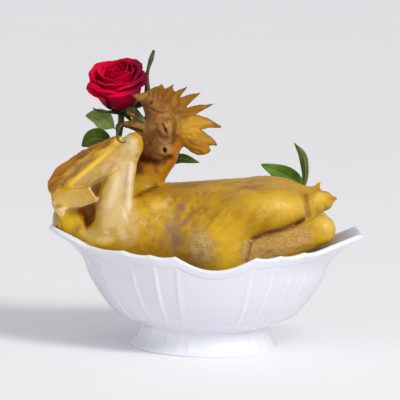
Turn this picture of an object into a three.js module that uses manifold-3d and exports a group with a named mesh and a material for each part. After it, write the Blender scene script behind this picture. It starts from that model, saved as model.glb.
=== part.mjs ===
// A whole boiled chicken with a rose in its beak, sitting in a white lobed pedestal bowl with a few leaves.
// Units are millimetres. +Z is up, +X runs from the breast to the tail and -Y is the front of the bowl.
// The origin is the centre of the bowl's foot, on the surface that it stands on.

import * as THREE from "three";
import { mergeVertices } from "three/addons/utils/BufferGeometryUtils.js";
import Module from "manifold-3d";

const wasm = await Module();
wasm.setup();

// Driving dimensions of the bowl. The wall's half lengths are [height, along X, along Y].
const FOOT_HEIGHT = 24;
const FOOT_PROFILE = [[0, 77], [2.5, 77], [6, 72], [13, 67.5], [FOOT_HEIGHT, 66]];
const FOOT_RING_WIDTH = 7;
const FOOT_RECESS = 19;
const FOOT_RECESS_RADIUS = 54;
const WALL_PROFILE = [
  [24, 66, 66], [34, 90, 86], [49, 105, 99], [65, 116, 107], [80, 124, 112], [90, 127, 114.5],
  [97, 131, 116.5], [103, 137, 117.5], [109, 144.5, 118.5], [115, 153, 119.5], [119, 159.5, 120],
  [122, 164.5, 120.5], [130, 176, 121],
];
const WALL_THICKNESS = 5;
const PLAN_SQUARENESS = 2.3;
const RIB_RELIEF = 1.4;

// The rim's lobes, round from the front: [angle of the rib, rim height there, rise of the lobe that follows].
const RIM_LOBES = [
  [-13, 110.5, -14.3], [21, 110.5, -2], [31, 111.5, -2], [41.5, 113.5, -2], [52, 116, 6],
  [80, 124, -1.2], [93, 123, -1.2], [106, 123.5, -12], [136, 113, -2], [147, 111.5, -2], [158, 111, -2],
  [169, 111, 6], [191, 111, -2], [202, 111, -2], [213, 111.5, -2], [224, 113, -12],
  [254, 123.5, -1.2], [267, 123, -1.2], [280, 123, 8], [305, 113, -2], [325, 112.5, -2], [336.5, 110.5, -2],
];
const RIM_BAND_RELIEF = 0.8;
const RIM_BAND_START = 0.88;

// Gap kept between pieces that touch.
const CONTACT_GAP = 0.5;

const FLESH = { color: 0xd9a431, roughness: 0.38, metalness: 0 };
const PORCELAIN = { color: 0xeef0f6, roughness: 0.25, metalness: 0 };
const ROSE_RED = { color: 0xa3072a, roughness: 0.55, metalness: 0 };
const STEM_GREEN = { color: 0x4a5a2c, roughness: 0.6, metalness: 0 };
const LEAF_GREEN = { color: 0x3f7424, roughness: 0.45, metalness: 0 };

// Helpers for numbers and curves.
const clamp = (value, low, high) => Math.min(high, Math.max(low, value));
const radians = (degrees) => (degrees * Math.PI) / 180;
const vector = (point) => new THREE.Vector3(...point);

// Catmull-Rom through stations [position, ...values], returning the values at a position.
function alongStations(stations, position) {
  const last = stations.length - 1;
  const x = clamp(position, stations[0][0], stations[last][0]);
  let i = 0;
  while (i < last - 1 && x > stations[i + 1][0]) i += 1;
  const [before, from, to, after] = [i - 1, i, i + 1, i + 2].map((n) => stations[clamp(n, 0, last)]);
  const t = (x - from[0]) / (to[0] - from[0]);
  return from.slice(1).map((value, n) => {
    const c = n + 1;
    const span = to[0] - from[0];
    const slopeIn = ((to[c] - before[c]) / Math.max(to[0] - before[0], 1e-9)) * span;
    const slopeOut = ((after[c] - value) / Math.max(after[0] - from[0], 1e-9)) * span;
    return (
      value * (2 * t ** 3 - 3 * t ** 2 + 1) + slopeIn * (t ** 3 - 2 * t ** 2 + t) +
      to[c] * (3 * t ** 2 - 2 * t ** 3) + slopeOut * (t ** 3 - t ** 2)
    );
  });
}

// Meshes and solids.
function geometryOf(positions, triangles) {
  const geometry = new THREE.BufferGeometry();
  geometry.setAttribute("position", new THREE.Float32BufferAttribute(positions, 3));
  geometry.setIndex(triangles);
  return geometry;
}

function solidOf(geometry) {
  const bare = geometry.clone();
  bare.deleteAttribute("normal");
  bare.deleteAttribute("uv");
  const merged = mergeVertices(bare, 1e-4);
  return new wasm.Manifold(new wasm.Mesh({
    numProp: 3,
    vertProperties: merged.attributes.position.array,
    triVerts: new Uint32Array(merged.index.array),
  }));
}

function geometryOfSolid(solid) {
  const mesh = solid.getMesh();
  const positions = [];
  for (let i = 0; i < mesh.numVert; i += 1) {
    for (let c = 0; c < 3; c += 1) positions.push(mesh.vertProperties[i * mesh.numProp + c]);
  }
  return geometryOf(positions, [...mesh.triVerts]);
}

// The same surface without the shortest edges that cutting and joining leave behind.
function withoutSlivers(solid, shortest = 0.06) {
  const merged = mergeVertices(geometryOfSolid(solid), shortest);
  const kept = [];
  for (let i = 0; i < merged.index.count; i += 3) {
    const [a, b, c] = [0, 1, 2].map((n) => merged.index.array[i + n]);
    if (a !== b && b !== c && c !== a) kept.push(a, b, c);
  }
  const positions = [...merged.attributes.position.array];
  while (splitSharedEdge(positions, kept));
  return geometryOf(positions, kept);
}

// Where two folds of a surface meet along one edge, one of them gets a middle point of its own there.
function splitSharedEdge(positions, triangles) {
  const facesOn = new Map();
  for (let face = 0; face < triangles.length; face += 3) {
    for (let n = 0; n < 3; n += 1) {
      const key = [triangles[face + n], triangles[face + ((n + 1) % 3)]].sort((a, b) => a - b).join(" ");
      facesOn.set(key, [...(facesOn.get(key) ?? []), { face, n }]);
    }
  }
  const shared = [...facesOn.entries()].find(([, sides]) => sides.length > 2);
  if (!shared) return false;
  const [a, b] = shared[0].split(" ").map(Number);
  const middle = positions.length / 3;
  for (let c = 0; c < 3; c += 1) positions.push((positions[3 * a + c] + positions[3 * b + c]) / 2);
  [a, b].forEach((first) => {
    const { face, n } = shared[1].find((side) => triangles[side.face + side.n] === first);
    const [second, third] = [1, 2].map((step) => triangles[face + ((n + step) % 3)]);
    triangles.push(middle, second, third);
    triangles[face + ((n + 1) % 3)] = middle;
  });
  return true;
}

const largestBody = (solid) => solid.decompose().sort((a, b) => b.volume() - a.volume())[0];
const joined = (solids) => solids.reduce((whole, solid) => whole.add(solid));

// A closed skin over rings of equally many points, with a flat fan on each end ring.
// The rings turn anticlockwise as seen from the last ring looking back at the first.
// Each four-sided patch is split along one diagonal, or along the other if crossed.
function skin(rings, crossed = false) {
  const count = rings[0].length;
  const positions = rings.flat(2);
  const triangles = [];
  for (let r = 0; r < rings.length - 1; r += 1) {
    for (let i = 0; i < count; i += 1) {
      const j = (i + 1) % count;
      const [a, b, c, d] = [r * count + i, r * count + j, (r + 1) * count + j, (r + 1) * count + i];
      triangles.push(...(crossed ? [a, b, d, b, c, d] : [a, b, c, a, c, d]));
    }
  }
  const middle = (ring) => [0, 1, 2].map((c) => ring.reduce((sum, p) => sum + p[c], 0) / count);
  const firstMiddle = positions.length / 3;
  positions.push(...middle(rings[0]), ...middle(rings[rings.length - 1]));
  const lastRing = (rings.length - 1) * count;
  for (let i = 0; i < count; i += 1) {
    const j = (i + 1) % count;
    triangles.push(firstMiddle, j, i, firstMiddle + 1, lastRing + i, lastRing + j);
  }
  return geometryOf(positions, triangles);
}

// A thin solid between two grids of points, rows by columns, whose two faces are split alike.
// The upper grid lies on the side that its columns crossed with its rows point to.
function sheetSolid(lower, upper) {
  const [rows, columns] = [lower.length, lower[0].length];
  const at = (layer, r, c) => (layer * rows + r) * columns + c;
  const triangles = [];
  for (let r = 0; r < rows - 1; r += 1) {
    for (let c = 0; c < columns - 1; c += 1) {
      const [a, b, m, n] = [at(1, r, c), at(1, r, c + 1), at(1, r + 1, c + 1), at(1, r + 1, c)];
      const below = rows * columns;
      triangles.push(a, b, m, a, m, n);
      triangles.push(a - below, m - below, b - below, a - below, n - below, m - below);
    }
  }
  const loop = [];
  for (let c = 0; c < columns - 1; c += 1) loop.push([0, c]);
  for (let r = 0; r < rows - 1; r += 1) loop.push([r, columns - 1]);
  for (let c = columns - 1; c > 0; c -= 1) loop.push([rows - 1, c]);
  for (let r = rows - 1; r > 0; r -= 1) loop.push([r, 0]);
  loop.forEach(([r, c], i) => {
    const [nextR, nextC] = loop[(i + 1) % loop.length];
    triangles.push(at(1, nextR, nextC), at(1, r, c), at(0, r, c));
    triangles.push(at(1, nextR, nextC), at(0, r, c), at(0, nextR, nextC));
  });
  return solidOf(geometryOf([...lower, ...upper].flat(2), triangles));
}

// A round stem through points, with a radius at each end. Overrun lengthens it at both ends.
function stemSolid(points, startRadius, endRadius, steps = 6, sides = 6, overrun = 0) {
  const curve = new THREE.CatmullRomCurve3(points.map(vector));
  const frames = curve.computeFrenetFrames(steps, false);
  const rings = [];
  for (let i = 0; i <= steps; i += 1) {
    const beyond = i === 0 ? -overrun : i === steps ? overrun : 0;
    const centre = curve.getPointAt(i / steps).addScaledVector(frames.tangents[i], beyond);
    const radius = startRadius + ((endRadius - startRadius) * i) / steps;
    rings.push(Array.from({ length: sides }, (_, k) => {
      const angle = (k / sides) * 2 * Math.PI;
      return centre.clone()
        .addScaledVector(frames.normals[i], radius * Math.cos(angle))
        .addScaledVector(frames.binormals[i], radius * Math.sin(angle)).toArray();
    }));
  }
  return solidOf(skin(rings));
}

// Distances to simple forms, negative inside, for the flesh.
function ellipsoid(centre, radii, tilt = 0) {
  const [cos, sin] = [Math.cos(radians(tilt)), Math.sin(radians(tilt))];
  return (x, y, z) => {
    const [dx, dy, dz] = [x - centre[0], y - centre[1], z - centre[2]];
    const [u, w] = [cos * dx + sin * dz, cos * dz - sin * dx];
    const near = Math.hypot(u / radii[0], dy / radii[1], w / radii[2]);
    const slope = Math.hypot(u / radii[0] ** 2, dy / radii[1] ** 2, w / radii[2] ** 2);
    return slope < 1e-9 ? -Math.min(...radii) : (near * (near - 1)) / slope;
  };
}

// A chain of tapered capsules through [x, y, z, radius], with its thickness along Y scaled by flat.
function limb(stations, flat = 1) {
  const pieces = stations.slice(1).map((to, i) => {
    const from = stations[i];
    const run = [0, 1, 2].map((c) => to[c] - from[c]);
    return { from, to, run, square: run[0] ** 2 + run[1] ** 2 + run[2] ** 2 };
  });
  return (x, y, z) => Math.min(...pieces.map(({ from, to, run, square }) => {
    const along = ((x - from[0]) * run[0] + (y - from[1]) * run[1] + (z - from[2]) * run[2]) / square;
    const t = clamp(along, 0, 1);
    const radius = from[3] + (to[3] - from[3]) * t;
    const dx = x - from[0] - run[0] * t;
    const dy = (y - from[1] - run[1] * t) / flat;
    const dz = z - from[2] - run[2] * t;
    return (Math.hypot(dx, dy, dz) - radius) * Math.min(1, flat);
  }));
}

function smoothUnion(forms, blend) {
  return (x, y, z) => forms.reduce((sum, form) => {
    const distance = form(x, y, z);
    const share = Math.max(blend - Math.abs(sum - distance), 0) / blend;
    return Math.min(sum, distance) - (share * share * blend) / 4;
  }, Infinity);
}

const bothSides = (form) => (x, y, z) => form(x, Math.abs(y), z);

// The closed surface where a distance is zero: one vertex for each cell that it crosses.
function surfaceNet(distance, from, to, cell) {
  const low = from.map((v) => v - 2 * cell);
  const size = [0, 1, 2].map((c) => Math.ceil((to[c] - low[c]) / cell) + 3);
  const stride = [1, size[0], size[0] * size[1]];
  const place = (i, j, k) => i + j * stride[1] + k * stride[2];
  const point = (i, j, k) => [low[0] + i * cell, low[1] + j * cell, low[2] + k * cell];
  const value = new Float32Array(stride[2] * size[2]);
  for (let k = 0; k < size[2]; k += 1) {
    for (let j = 0; j < size[1]; j += 1) {
      for (let i = 0; i < size[0]; i += 1) value[place(i, j, k)] = distance(...point(i, j, k));
    }
  }
  const corners = [0, 1, 2, 3, 4, 5, 6, 7].map((n) => [n & 1, (n >> 1) & 1, n >> 2]);
  const edges = [];
  corners.forEach((a, m) => [1, 2, 4].forEach((bit) => {
    if (!(m & bit)) edges.push([a, corners[m | bit]]);
  }));
  const vertexOf = new Int32Array(value.length).fill(-1);
  const positions = [];
  const slope = (p) => [0, 1, 2].map((c) => {
    const step = p.map((v, n) => v + (n === c ? 0.5 : 0));
    const back = p.map((v, n) => v - (n === c ? 0.5 : 0));
    return distance(...step) - distance(...back);
  });
  for (let k = 0; k < size[2] - 1; k += 1) {
    for (let j = 0; j < size[1] - 1; j += 1) {
      for (let i = 0; i < size[0] - 1; i += 1) {
        const crossed = edges.map(([a, b]) => {
          const va = value[place(i + a[0], j + a[1], k + a[2])];
          const vb = value[place(i + b[0], j + b[1], k + b[2])];
          if (va < 0 === vb < 0) return null;
          const t = va / (va - vb);
          return a.map((v, c) => v + (b[c] - v) * t);
        }).filter(Boolean);
        if (!crossed.length) continue;
        const mean = [0, 1, 2].map((c) => crossed.reduce((sum, p) => sum + p[c], 0) / crossed.length);
        const p = mean.map((v, c) => low[c] + ([i, j, k][c] + v) * cell);
        const g = slope(p);
        const square = g[0] ** 2 + g[1] ** 2 + g[2] ** 2;
        const shift = square < 0.04 ? 0 : clamp(distance(...p) / square, -cell / 3, cell / 3);
        vertexOf[place(i, j, k)] = positions.length / 3;
        positions.push(...p.map((v, c) => v - g[c] * shift));
      }
    }
  }
  const triangles = [];
  for (let k = 1; k < size[2] - 1; k += 1) {
    for (let j = 1; j < size[1] - 1; j += 1) {
      for (let i = 1; i < size[0] - 1; i += 1) {
        [0, 1, 2].forEach((axis) => {
          const here = place(i, j, k);
          const inside = value[here] < 0;
          if (inside === value[here + stride[axis]] < 0) return;
          const [u, v] = [stride[(axis + 1) % 3], stride[(axis + 2) % 3]];
          const around = [here - u - v, here - v, here, here - u].map((n) => vertexOf[n]);
          const [a, b, c, d] = inside ? around : around.reverse();
          triangles.push(a, b, c, a, c, d);
        });
      }
    }
  }
  return geometryOf(positions, triangles);
}

// The bowl. Angles are in degrees from the front, and share runs from 0 at the foot to 1 at the rim.
function lobeAt(angle) {
  const turned = ((((angle - RIM_LOBES[0][0]) % 360) + 360) % 360) + RIM_LOBES[0][0];
  const n = RIM_LOBES.findLastIndex(([start]) => turned >= start - 1e-9);
  const [start, height, rise] = RIM_LOBES[n];
  const isLast = n + 1 === RIM_LOBES.length;
  const [nextStart, nextHeight] = RIM_LOBES[isLast ? 0 : n + 1];
  const end = nextStart + (isLast ? 360 : 0);
  const share = (turned - start) / (end - start);
  const bow = 4 * share * (1 - share);
  return { bow, rimHeight: height + (nextHeight - height) * share + rise * bow };
}

const rimHeight = (angle) => lobeAt(angle).rimHeight;

// The plan is an oval that turns from round at the foot to slightly square at the rim.
function wallPoint(angle, share) {
  const z = FOOT_HEIGHT + (rimHeight(angle) - FOOT_HEIGHT) * share;
  const [alongX, alongY] = alongStations(WALL_PROFILE, z);
  const turn = Math.atan2(alongX * Math.sin(radians(angle)), alongY * Math.cos(radians(angle)));
  const power = 2 + (PLAN_SQUARENESS - 2) * clamp(share, 0, 1);
  const plan = (Math.abs(Math.sin(turn)) / alongX) ** power + (Math.abs(Math.cos(turn)) / alongY) ** power;
  const rib = lobeAt(angle).bow < 0.02 ? RIB_RELIEF * Math.sin(Math.PI * clamp(share, 0, 1)) ** 0.5 : 0;
  const band = share > RIM_BAND_START ? RIM_BAND_RELIEF : 0;
  return { turn, z, r: plan ** (-1 / power) + Math.max(rib, band) };
}

function innerPoint(angle, share) {
  const [below, above] = [wallPoint(angle, share - 0.04), wallPoint(angle, Math.min(1, share + 0.04))];
  const length = Math.hypot(above.r - below.r, above.z - below.z);
  const on = wallPoint(angle, share);
  const z = on.z + (WALL_THICKNESS * (above.r - below.r)) / length;
  return {
    turn: on.turn,
    r: on.r - (WALL_THICKNESS * (above.z - below.z)) / length,
    z: Math.min(z, rimHeight(angle) - 1.5),
  };
}

// Every lobe is cut into equal steps, shorter ones on the lobes that bend most.
function bowlAngles() {
  return RIM_LOBES.flatMap(([start, , rise], n) => {
    const end = n + 1 < RIM_LOBES.length ? RIM_LOBES[n + 1][0] : RIM_LOBES[0][0] + 360;
    const steps = Math.abs(rise) > 10 ? 6 : Math.abs(rise) > 4 ? 4 : 2;
    return Array.from({ length: steps }, (_, i) => start + ((end - start) * i) / steps);
  });
}

const around = ({ turn, r, z }) => [r * Math.sin(turn), -r * Math.cos(turn), z];

// The rings of the inner face, drawn in from the wall by a gap.
function innerRings(gap) {
  return [0.97, 0.88, 0.79, 0.68, 0.52, 0.3, 0.08].map((share) => bowlAngles().map((angle) => {
    const { turn, r, z } = innerPoint(angle, share);
    return around({ turn, r: r - gap, z: z + gap });
  }));
}

function bowlRings() {
  const flatRing = (r, z) => bowlAngles().map((angle) => around({ turn: radians(angle), r, z }));
  const ringRadius = FOOT_PROFILE[0][1] - FOOT_RING_WIDTH;
  const under = [flatRing(FOOT_RECESS_RADIUS, FOOT_RECESS), flatRing(ringRadius, 0)];
  const foot = FOOT_PROFILE.map(([z, r]) => flatRing(r, z));
  const outer = [0.1, 0.26, 0.45, 0.65, 0.82, 0.89, 0.985].map((share) => (
    bowlAngles().map((angle) => around(wallPoint(angle, share)))
  ));
  const top = bowlAngles().map((angle) => {
    const { turn, r } = wallPoint(angle, 1);
    return around({ turn, r: r - WALL_THICKNESS / 2, z: rimHeight(angle) });
  });
  return [...under, ...foot, ...outer, top, ...innerRings(0)];
}

// What the bowl's inside holds, down from well above the rim, for cutting the flesh to it.
function bowlInside(toBird) {
  const rings = innerRings(CONTACT_GAP).reverse();
  const lid = rings[rings.length - 1].map(([x, y]) => [x * 1.25, y * 1.5, 400]);
  const rimRing = (shift) => bowlAngles().map((angle) => {
    const { turn, r } = wallPoint(angle, 1);
    return around({ turn, r: r + shift, z: rimHeight(angle) + CONTACT_GAP });
  });
  const shape = skin([...rings, rimRing(-WALL_THICKNESS - 2 * CONTACT_GAP), rimRing(3), lid], true);
  return solidOf(shape.applyMatrix4(toBird));
}

// The flesh, as distances. Sides are given for one side, and bothSides mirrors them.
const TORSO = [
  ellipsoid([-106, 0, 130], [56, 54, 46]),
  ellipsoid([-40, 0, 118], [74, 66, 58]),
  ellipsoid([38, 0, 120], [74, 62, 60]),
  ellipsoid([80, 0, 142], [31, 36, 30]),
];
const KEEL = ellipsoid([-28, 0, 86], [74, 34, 52]);
const SHOULDER = ellipsoid([-84, 42, 126], [42, 26, 34]);
const FLANK = ellipsoid([55, 40, 150], [48, 30, 28], 8);
const KNEE = ellipsoid([10, 54, 104], [34, 26, 40]);
const DRUMSTICK = limb([[20, 58, 94, 24], [75, 62, 111, 19], [110, 60, 127, 14], [119, 58, 131.5, 15.5]]);
const TAIL = limb([
  [92, 0, 150, 20], [110, 0, 152, 16.5], [123, 0, 153.5, 10.5], [135, 0, 155.5, 2.2],
], 1.4);
const PREEN_GLAND = limb([[114, 0, 164, 4], [118.5, 0, 172, 1.6]]);
const NECK_BASE = limb([[-84, 0, 140, 32], [-75, 0, 165, 22], [-68, 0, 174, 20]]);
const NECK = limb([[-72, 0, 170, 20], [-62, 0, 182, 19.5], [-50, 0, 200, 18.5]]);

const SKULL = ellipsoid([-46, 0, 221], [21, 17, 23]);
const FACE = ellipsoid([-48.5, 0, 239], [10.5, 12.5, 26], 36);
const CHEEK = ellipsoid([-62, 0, 213], [15, 14, 19]);
const UPPER_BEAK = limb([[-58, 0, 255, 7.5], [-69, 0, 262.5, 4], [-77.5, 0, 266.5, 1.8]]);
const LOWER_BEAK = limb([[-58, 0, 231, 8], [-74, 0, 233.5, 5.5], [-85, 0, 234.5, 3.5]]);
const TONGUE = limb([[-64, 0, 236, 3.5], [-74, 0, 242, 2.8], [-82, 0, 246.5, 2]]);
const EYE_RING = ellipsoid([-40.5, 15.5, 230.5], [9, 4.5, 11.5]);
const EAR_LOBE = ellipsoid([-43.5, 15, 206.5], [8, 4, 9]);

const UPPER_ARM = limb([
  [-90, 46, 124, 28], [-95, 45, 157, 20.5], [-91, 43, 179, 17], [-82, 38, 204, 11],
], 0.8);
const ELBOW = ellipsoid([-77, 36, 217], [11, 11, 14], -20);
const FOREARM = limb([[-80, 36, 213, 11.5], [-112, 40, 194, 12.5], [-140, 43, 176, 12.5]], 0.9);
const WING_FLAP = limb([
  [-92, 37, 222, 5.5], [-124, 42, 205, 9], [-146, 44, 184, 14], [-151, 45, 175, 14],
], 0.7);
const WING_HAND = limb([[-150, 48, 168, 10.5], [-130, 54, 166, 9.5], [-116, 58, 163.5, 4]], 0.7);
const WING_THUMB = limb([[-150, 50, 162, 7], [-151, 52, 150, 4.5]], 0.8);
const FAR_WING_DROP = 14;

// The bird and its garnish sit tipped up at the tail, about a point in their middle.
const TIPPING = 1.4;
const TIPPING_POINT = [-6.7, 0, 154];
const SITTING_SHIFT = [-1.2, 0, 0];

const wing = smoothUnion([UPPER_ARM, ELBOW, FOREARM, WING_FLAP, WING_HAND, WING_THUMB], 7);
const nearWing = (x, y, z) => wing(x, -y, z);
const farWing = (x, y, z) => wing(x, y, z + FAR_WING_DROP);
const torso = smoothUnion([smoothUnion(TORSO, 30), KEEL, NECK_BASE, bothSides(SHOULDER)], 18);
const body = smoothUnion([smoothUnion([torso, bothSides(FLANK)], 24), bothSides(KNEE)], 6);
const nearLeg = (x, y, z) => DRUMSTICK(x, -y, z);
const tail = smoothUnion([TAIL, PREEN_GLAND], 4);
const head = smoothUnion([
  smoothUnion([SKULL, FACE, CHEEK, NECK], 12),
  UPPER_BEAK, LOWER_BEAK, TONGUE, bothSides(EYE_RING), bothSides(EAR_LOBE),
], 4);

// The comb's outline from its front edge to the back of the head: a valley, then a tip, and so on.
const COMB_THICKNESS = 5;
const COMB_OUTLINE = [
  [-65, 267], [-58, 272], [-46.5, 277], [-43.6, 273], [-34, 276], [-34.8, 270], [-18.5, 274.4],
  [-27.3, 263.6], [-3.4, 268], [-20.7, 253], [11, 255.4], [-10.4, 245], [18.7, 229.7], [-4.8, 228.4],
  [7.4, 220.4], [12.5, 211.5], [2.9, 210.3], [5.1, 206.3], [-2.3, 202.6], [-11, 201.4], [-20, 207],
  [-25, 219], [-40, 224], [-54, 246],
];

function combSolid() {
  const outline = new THREE.Shape(COMB_OUTLINE.map(([x, z]) => new THREE.Vector2(x, z)));
  const plate = new THREE.ExtrudeGeometry(outline, { depth: COMB_THICKNESS, bevelEnabled: false });
  plate.rotateX(Math.PI / 2);
  plate.translate(0, COMB_THICKNESS / 2, 0);
  return solidOf(plate);
}

function chickenSolid(stemHole, toBird) {
  const trunk = solidOf(surfaceNet(body, [-170, -90, 28], [142, 92, 202], 11.8));
  const nearArm = solidOf(surfaceNet(nearWing, [-172, -76, 100], [-56, -18, 240], 7));
  const farArm = solidOf(surfaceNet(farWing, [-172, 18, 86], [-56, 76, 226], 10));
  const skull = solidOf(surfaceNet(head, [-98, -36, 146], [-14, 36, 276], 5.1));
  const legs = [
    solidOf(surfaceNet(nearLeg, [-6, -84, 68], [137, -36, 150], 8)),
    solidOf(surfaceNet(DRUMSTICK, [-6, 36, 68], [137, 84, 150], 9.5)),
  ];
  const rump = solidOf(surfaceNet(tail, [72, -30, 128], [138, 30, 176], 6.3));
  const whole = joined([trunk, ...legs, rump, nearArm, farArm, skull, combSolid()]);
  return largestBody(whole.intersect(bowlInside(toBird)).subtract(stemHole));
}

// The rose. Its axis runs from the calyx to the heart of the bloom.
const BLOOM_CENTRE = vector([-92, 26, 271]);
const BLOOM_AXIS = vector([-0.3, -0.42, 0.86]).normalize();
const BLOOM_HEIGHT = 50;
const BLOOM_RADIUS = 35;
const PETAL_THICKNESS = 1.8;
const PETAL_LAYERS = [
  { count: 4, radius: 1.02, height: 0.84, spread: 58, curl: 7, turn: 10 },
  { count: 3, radius: 0.78, height: 0.98, spread: 68, curl: 3, turn: 52 },
  { count: 2, radius: 0.46, height: 1.04, spread: 88, curl: 0, turn: 80 },
];

function bloomFrame() {
  const side = new THREE.Vector3(0, 1, 0).cross(BLOOM_AXIS).normalize();
  const up = BLOOM_AXIS.clone().cross(side);
  const base = BLOOM_CENTRE.clone().addScaledVector(BLOOM_AXIS, -BLOOM_HEIGHT / 2);
  return (radius, angle, height) => base.clone()
    .addScaledVector(side, radius * Math.cos(radians(angle)))
    .addScaledVector(up, radius * Math.sin(radians(angle)))
    .addScaledVector(BLOOM_AXIS, height);
}

// One petal as a thin cupped solid: rows run from the calyx to the lip, columns across.
function petalSolid(layer, index, margin) {
  const place = bloomFrame();
  const [rows, columns] = [4, 4];
  const middle = layer.turn + (360 / layer.count) * index;
  const half = PETAL_THICKNESS / 2 + margin;
  const grid = (offset) => Array.from({ length: rows + 1 }, (_, r) => (
    Array.from({ length: columns + 1 }, (__, c) => {
      const share = r / rows;
      const across = (2 * c) / columns - 1;
      const swell = Math.sin(Math.PI * clamp(0.12 + 0.62 * share, 0, 1)) ** 0.8;
      const lip = Math.max(0, share - 0.6) / 0.4;
      const radius = BLOOM_RADIUS * layer.radius * swell + layer.curl * lip ** 2 + offset;
      const breadth = 0.35 + 0.65 * Math.sin(Math.PI * clamp(share * 0.62 + 0.08, 0, 1));
      const reach = layer.spread * breadth + 4 * margin;
      const top = BLOOM_HEIGHT * layer.height * (1 - 0.1 * across ** 2);
      const height = top * share - layer.curl * lip ** 2 + margin * (2 * share - 1);
      return place(Math.max(radius, 1), middle + reach * across, height).toArray();
    })
  ));
  return sheetSolid(grid(-half), grid(half));
}

// The bloom, grown all round by a margin where it is used to cut the calyx back.
function bloomSolid(margin = 0) {
  const place = bloomFrame();
  const [rings, sides] = [[], 9];
  for (let r = 0; r <= 5; r += 1) {
    const share = r / 5;
    const swell = Math.sin(Math.PI * clamp(0.1 + 0.8 * share, 0, 1)) ** 0.7;
    const radius = (BLOOM_RADIUS * 0.8 * swell + margin) * (r === 5 ? 0.45 : 1);
    const height = BLOOM_HEIGHT * 0.86 * share - (r === 0 ? margin : 0);
    rings.push(Array.from({ length: sides }, (_, i) => place(radius, (360 / sides) * i, height).toArray()));
  }
  const petals = PETAL_LAYERS.flatMap((layer) => (
    Array.from({ length: layer.count }, (_, index) => petalSolid(layer, index, margin))
  ));
  return largestBody(joined([solidOf(skin(rings)), ...petals]));
}

// Stems, calyx and leaves.
const CALYX = bloomFrame()(0, 0, -1).toArray();
const STEM_PATH = [CALYX, [-74, 14, 247], [-66, 4, 238], [-54, 0, 228]];
const SHOOT_PATH = [[CALYX[0] - 2, CALYX[1], CALYX[2] - 3], [-90, 17, 232], [-93, 13, 214], [-97, 8, 182]];
const CURL_PATH = [
  [-90.5, 15, 230], [-92.6, -2, 234.5], [-92.8, -18, 234.5], [-92.6, -34, 233.5], [-92.6, -43, 230],
  [-92, -47, 225.5], [-89.5, -49.5, 222.5], [-86, -50.5, 221.8],
];
const STEM_RADIUS = 2.8;

// A thin leaf along a spine of points. The blade is folded along its rib and waves at its edge.
function leafSolid({ spine, width, normal, fold = 0.25, wave = 1, thickness = 1, stalk = 0.14 }) {
  const curve = new THREE.CatmullRomCurve3(spine.map(vector));
  const [rows, columns] = [10, 4];
  const grid = (lift) => Array.from({ length: rows + 1 }, (_, r) => {
    const share = r / rows;
    const blade = clamp((share - stalk) / (1 - stalk), 0, 1);
    const half = 0.7 + (width / 2) * Math.sin(Math.PI * blade ** 0.85) ** 0.9;
    const run = curve.getTangentAt(share);
    const across = vector(normal).cross(run).normalize();
    const up = run.clone().cross(across);
    return Array.from({ length: columns + 1 }, (__, c) => {
      const u = 1 - (2 * c) / columns;
      return curve.getPointAt(share).addScaledVector(across, half * u)
        .addScaledVector(up, fold * half * Math.abs(u) + wave * u * u * Math.sin(9 * share + 2 * u) + lift)
        .toArray();
    });
  });
  return sheetSolid(grid(-thickness / 2), grid(thickness / 2));
}

const LEAVES = {
  rose_leaf_upper: {
    spine: [[-93.5, 22, 225], [-103, 23, 232], [-114, 23, 239], [-127, 22, 241]],
    width: 19,
    normal: [0, -1, 0.25],
  },
  rose_leaf_lower: {
    spine: [[-98, 13, 209], [-107, 13, 216], [-119, 13, 217], [-131, 12, 210]],
    width: 21,
    normal: [0, -1, 0.2],
  },
  leaf_neck: {
    spine: [[-53, 33, 172], [-43, 33, 185], [-28, 33, 192], [-7, 33, 188.5]],
    width: 13,
    normal: [0, -1, 0.5],
  },
  leaf_back_low: {
    spine: [[106, 72, 156.5], [90, 72, 166.5], [74, 73, 174.5], [58.5, 73, 182]],
    width: 19,
    normal: [0.1, -1, 0.4],
    stalk: 0.02,
  },
  leaf_back_tall: {
    spine: [[104, 64.5, 158.8], [105.5, 64, 176], [103, 64, 192], [93.2, 64, 206.5]],
    width: 10,
    normal: [-0.6, -0.8, 0.1],
    stalk: 0.03,
  },
};
const TWIG_PATH = [[95, 72, 99], [98, 79.5, 118], [102, 74, 138], [102, 66, 157]];
const TWIG_RADIUS = 1.7;

function roseStemSolid() {
  const place = bloomFrame();
  const calyx = stemSolid([-8, -4, -0.6].map((depth) => place(0, 0, depth).toArray()), 3, 8, 3);
  const sepalRuns = [
    [place(4, 20, -3), place(24, 20, -2), place(36, 20, 7), vector([-62, 14, 286]), vector([-55, 12, 311])],
    [place(4, 190, -3), vector([-102, 12, 246]), vector([-112, 10, 247]), vector([-120, 9, 251])],
    [place(4, 290, -3), place(20, 290, -4), place(30, 290, 2)],
    [place(4, 110, -3), place(20, 110, -4), place(30, 110, 1)],
  ];
  const sepals = sepalRuns.map((run, n) => {
    const [baseRadius, tipRadius] = n === 0 ? [3.8, 1.6] : [3, 0.8];
    return stemSolid(run.map((point) => point.toArray()), baseRadius, tipRadius, 5, 4);
  });
  const stem = stemSolid(STEM_PATH, STEM_RADIUS, STEM_RADIUS);
  const shoot = stemSolid(SHOOT_PATH, 2.4, 1.8, 6, 5);
  const curl = stemSolid(CURL_PATH, 1.9, 0.8, 9, 4);
  return joined([calyx, stem, shoot, curl, ...sepals]);
}

// Assembly. Each piece is cut back from the piece it touches, so that a small gap is left.
function piece(name, solid, look) {
  const mesh = new THREE.Mesh(withoutSlivers(solid), new THREE.MeshStandardMaterial(look));
  mesh.name = name;
  return mesh;
}

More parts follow.
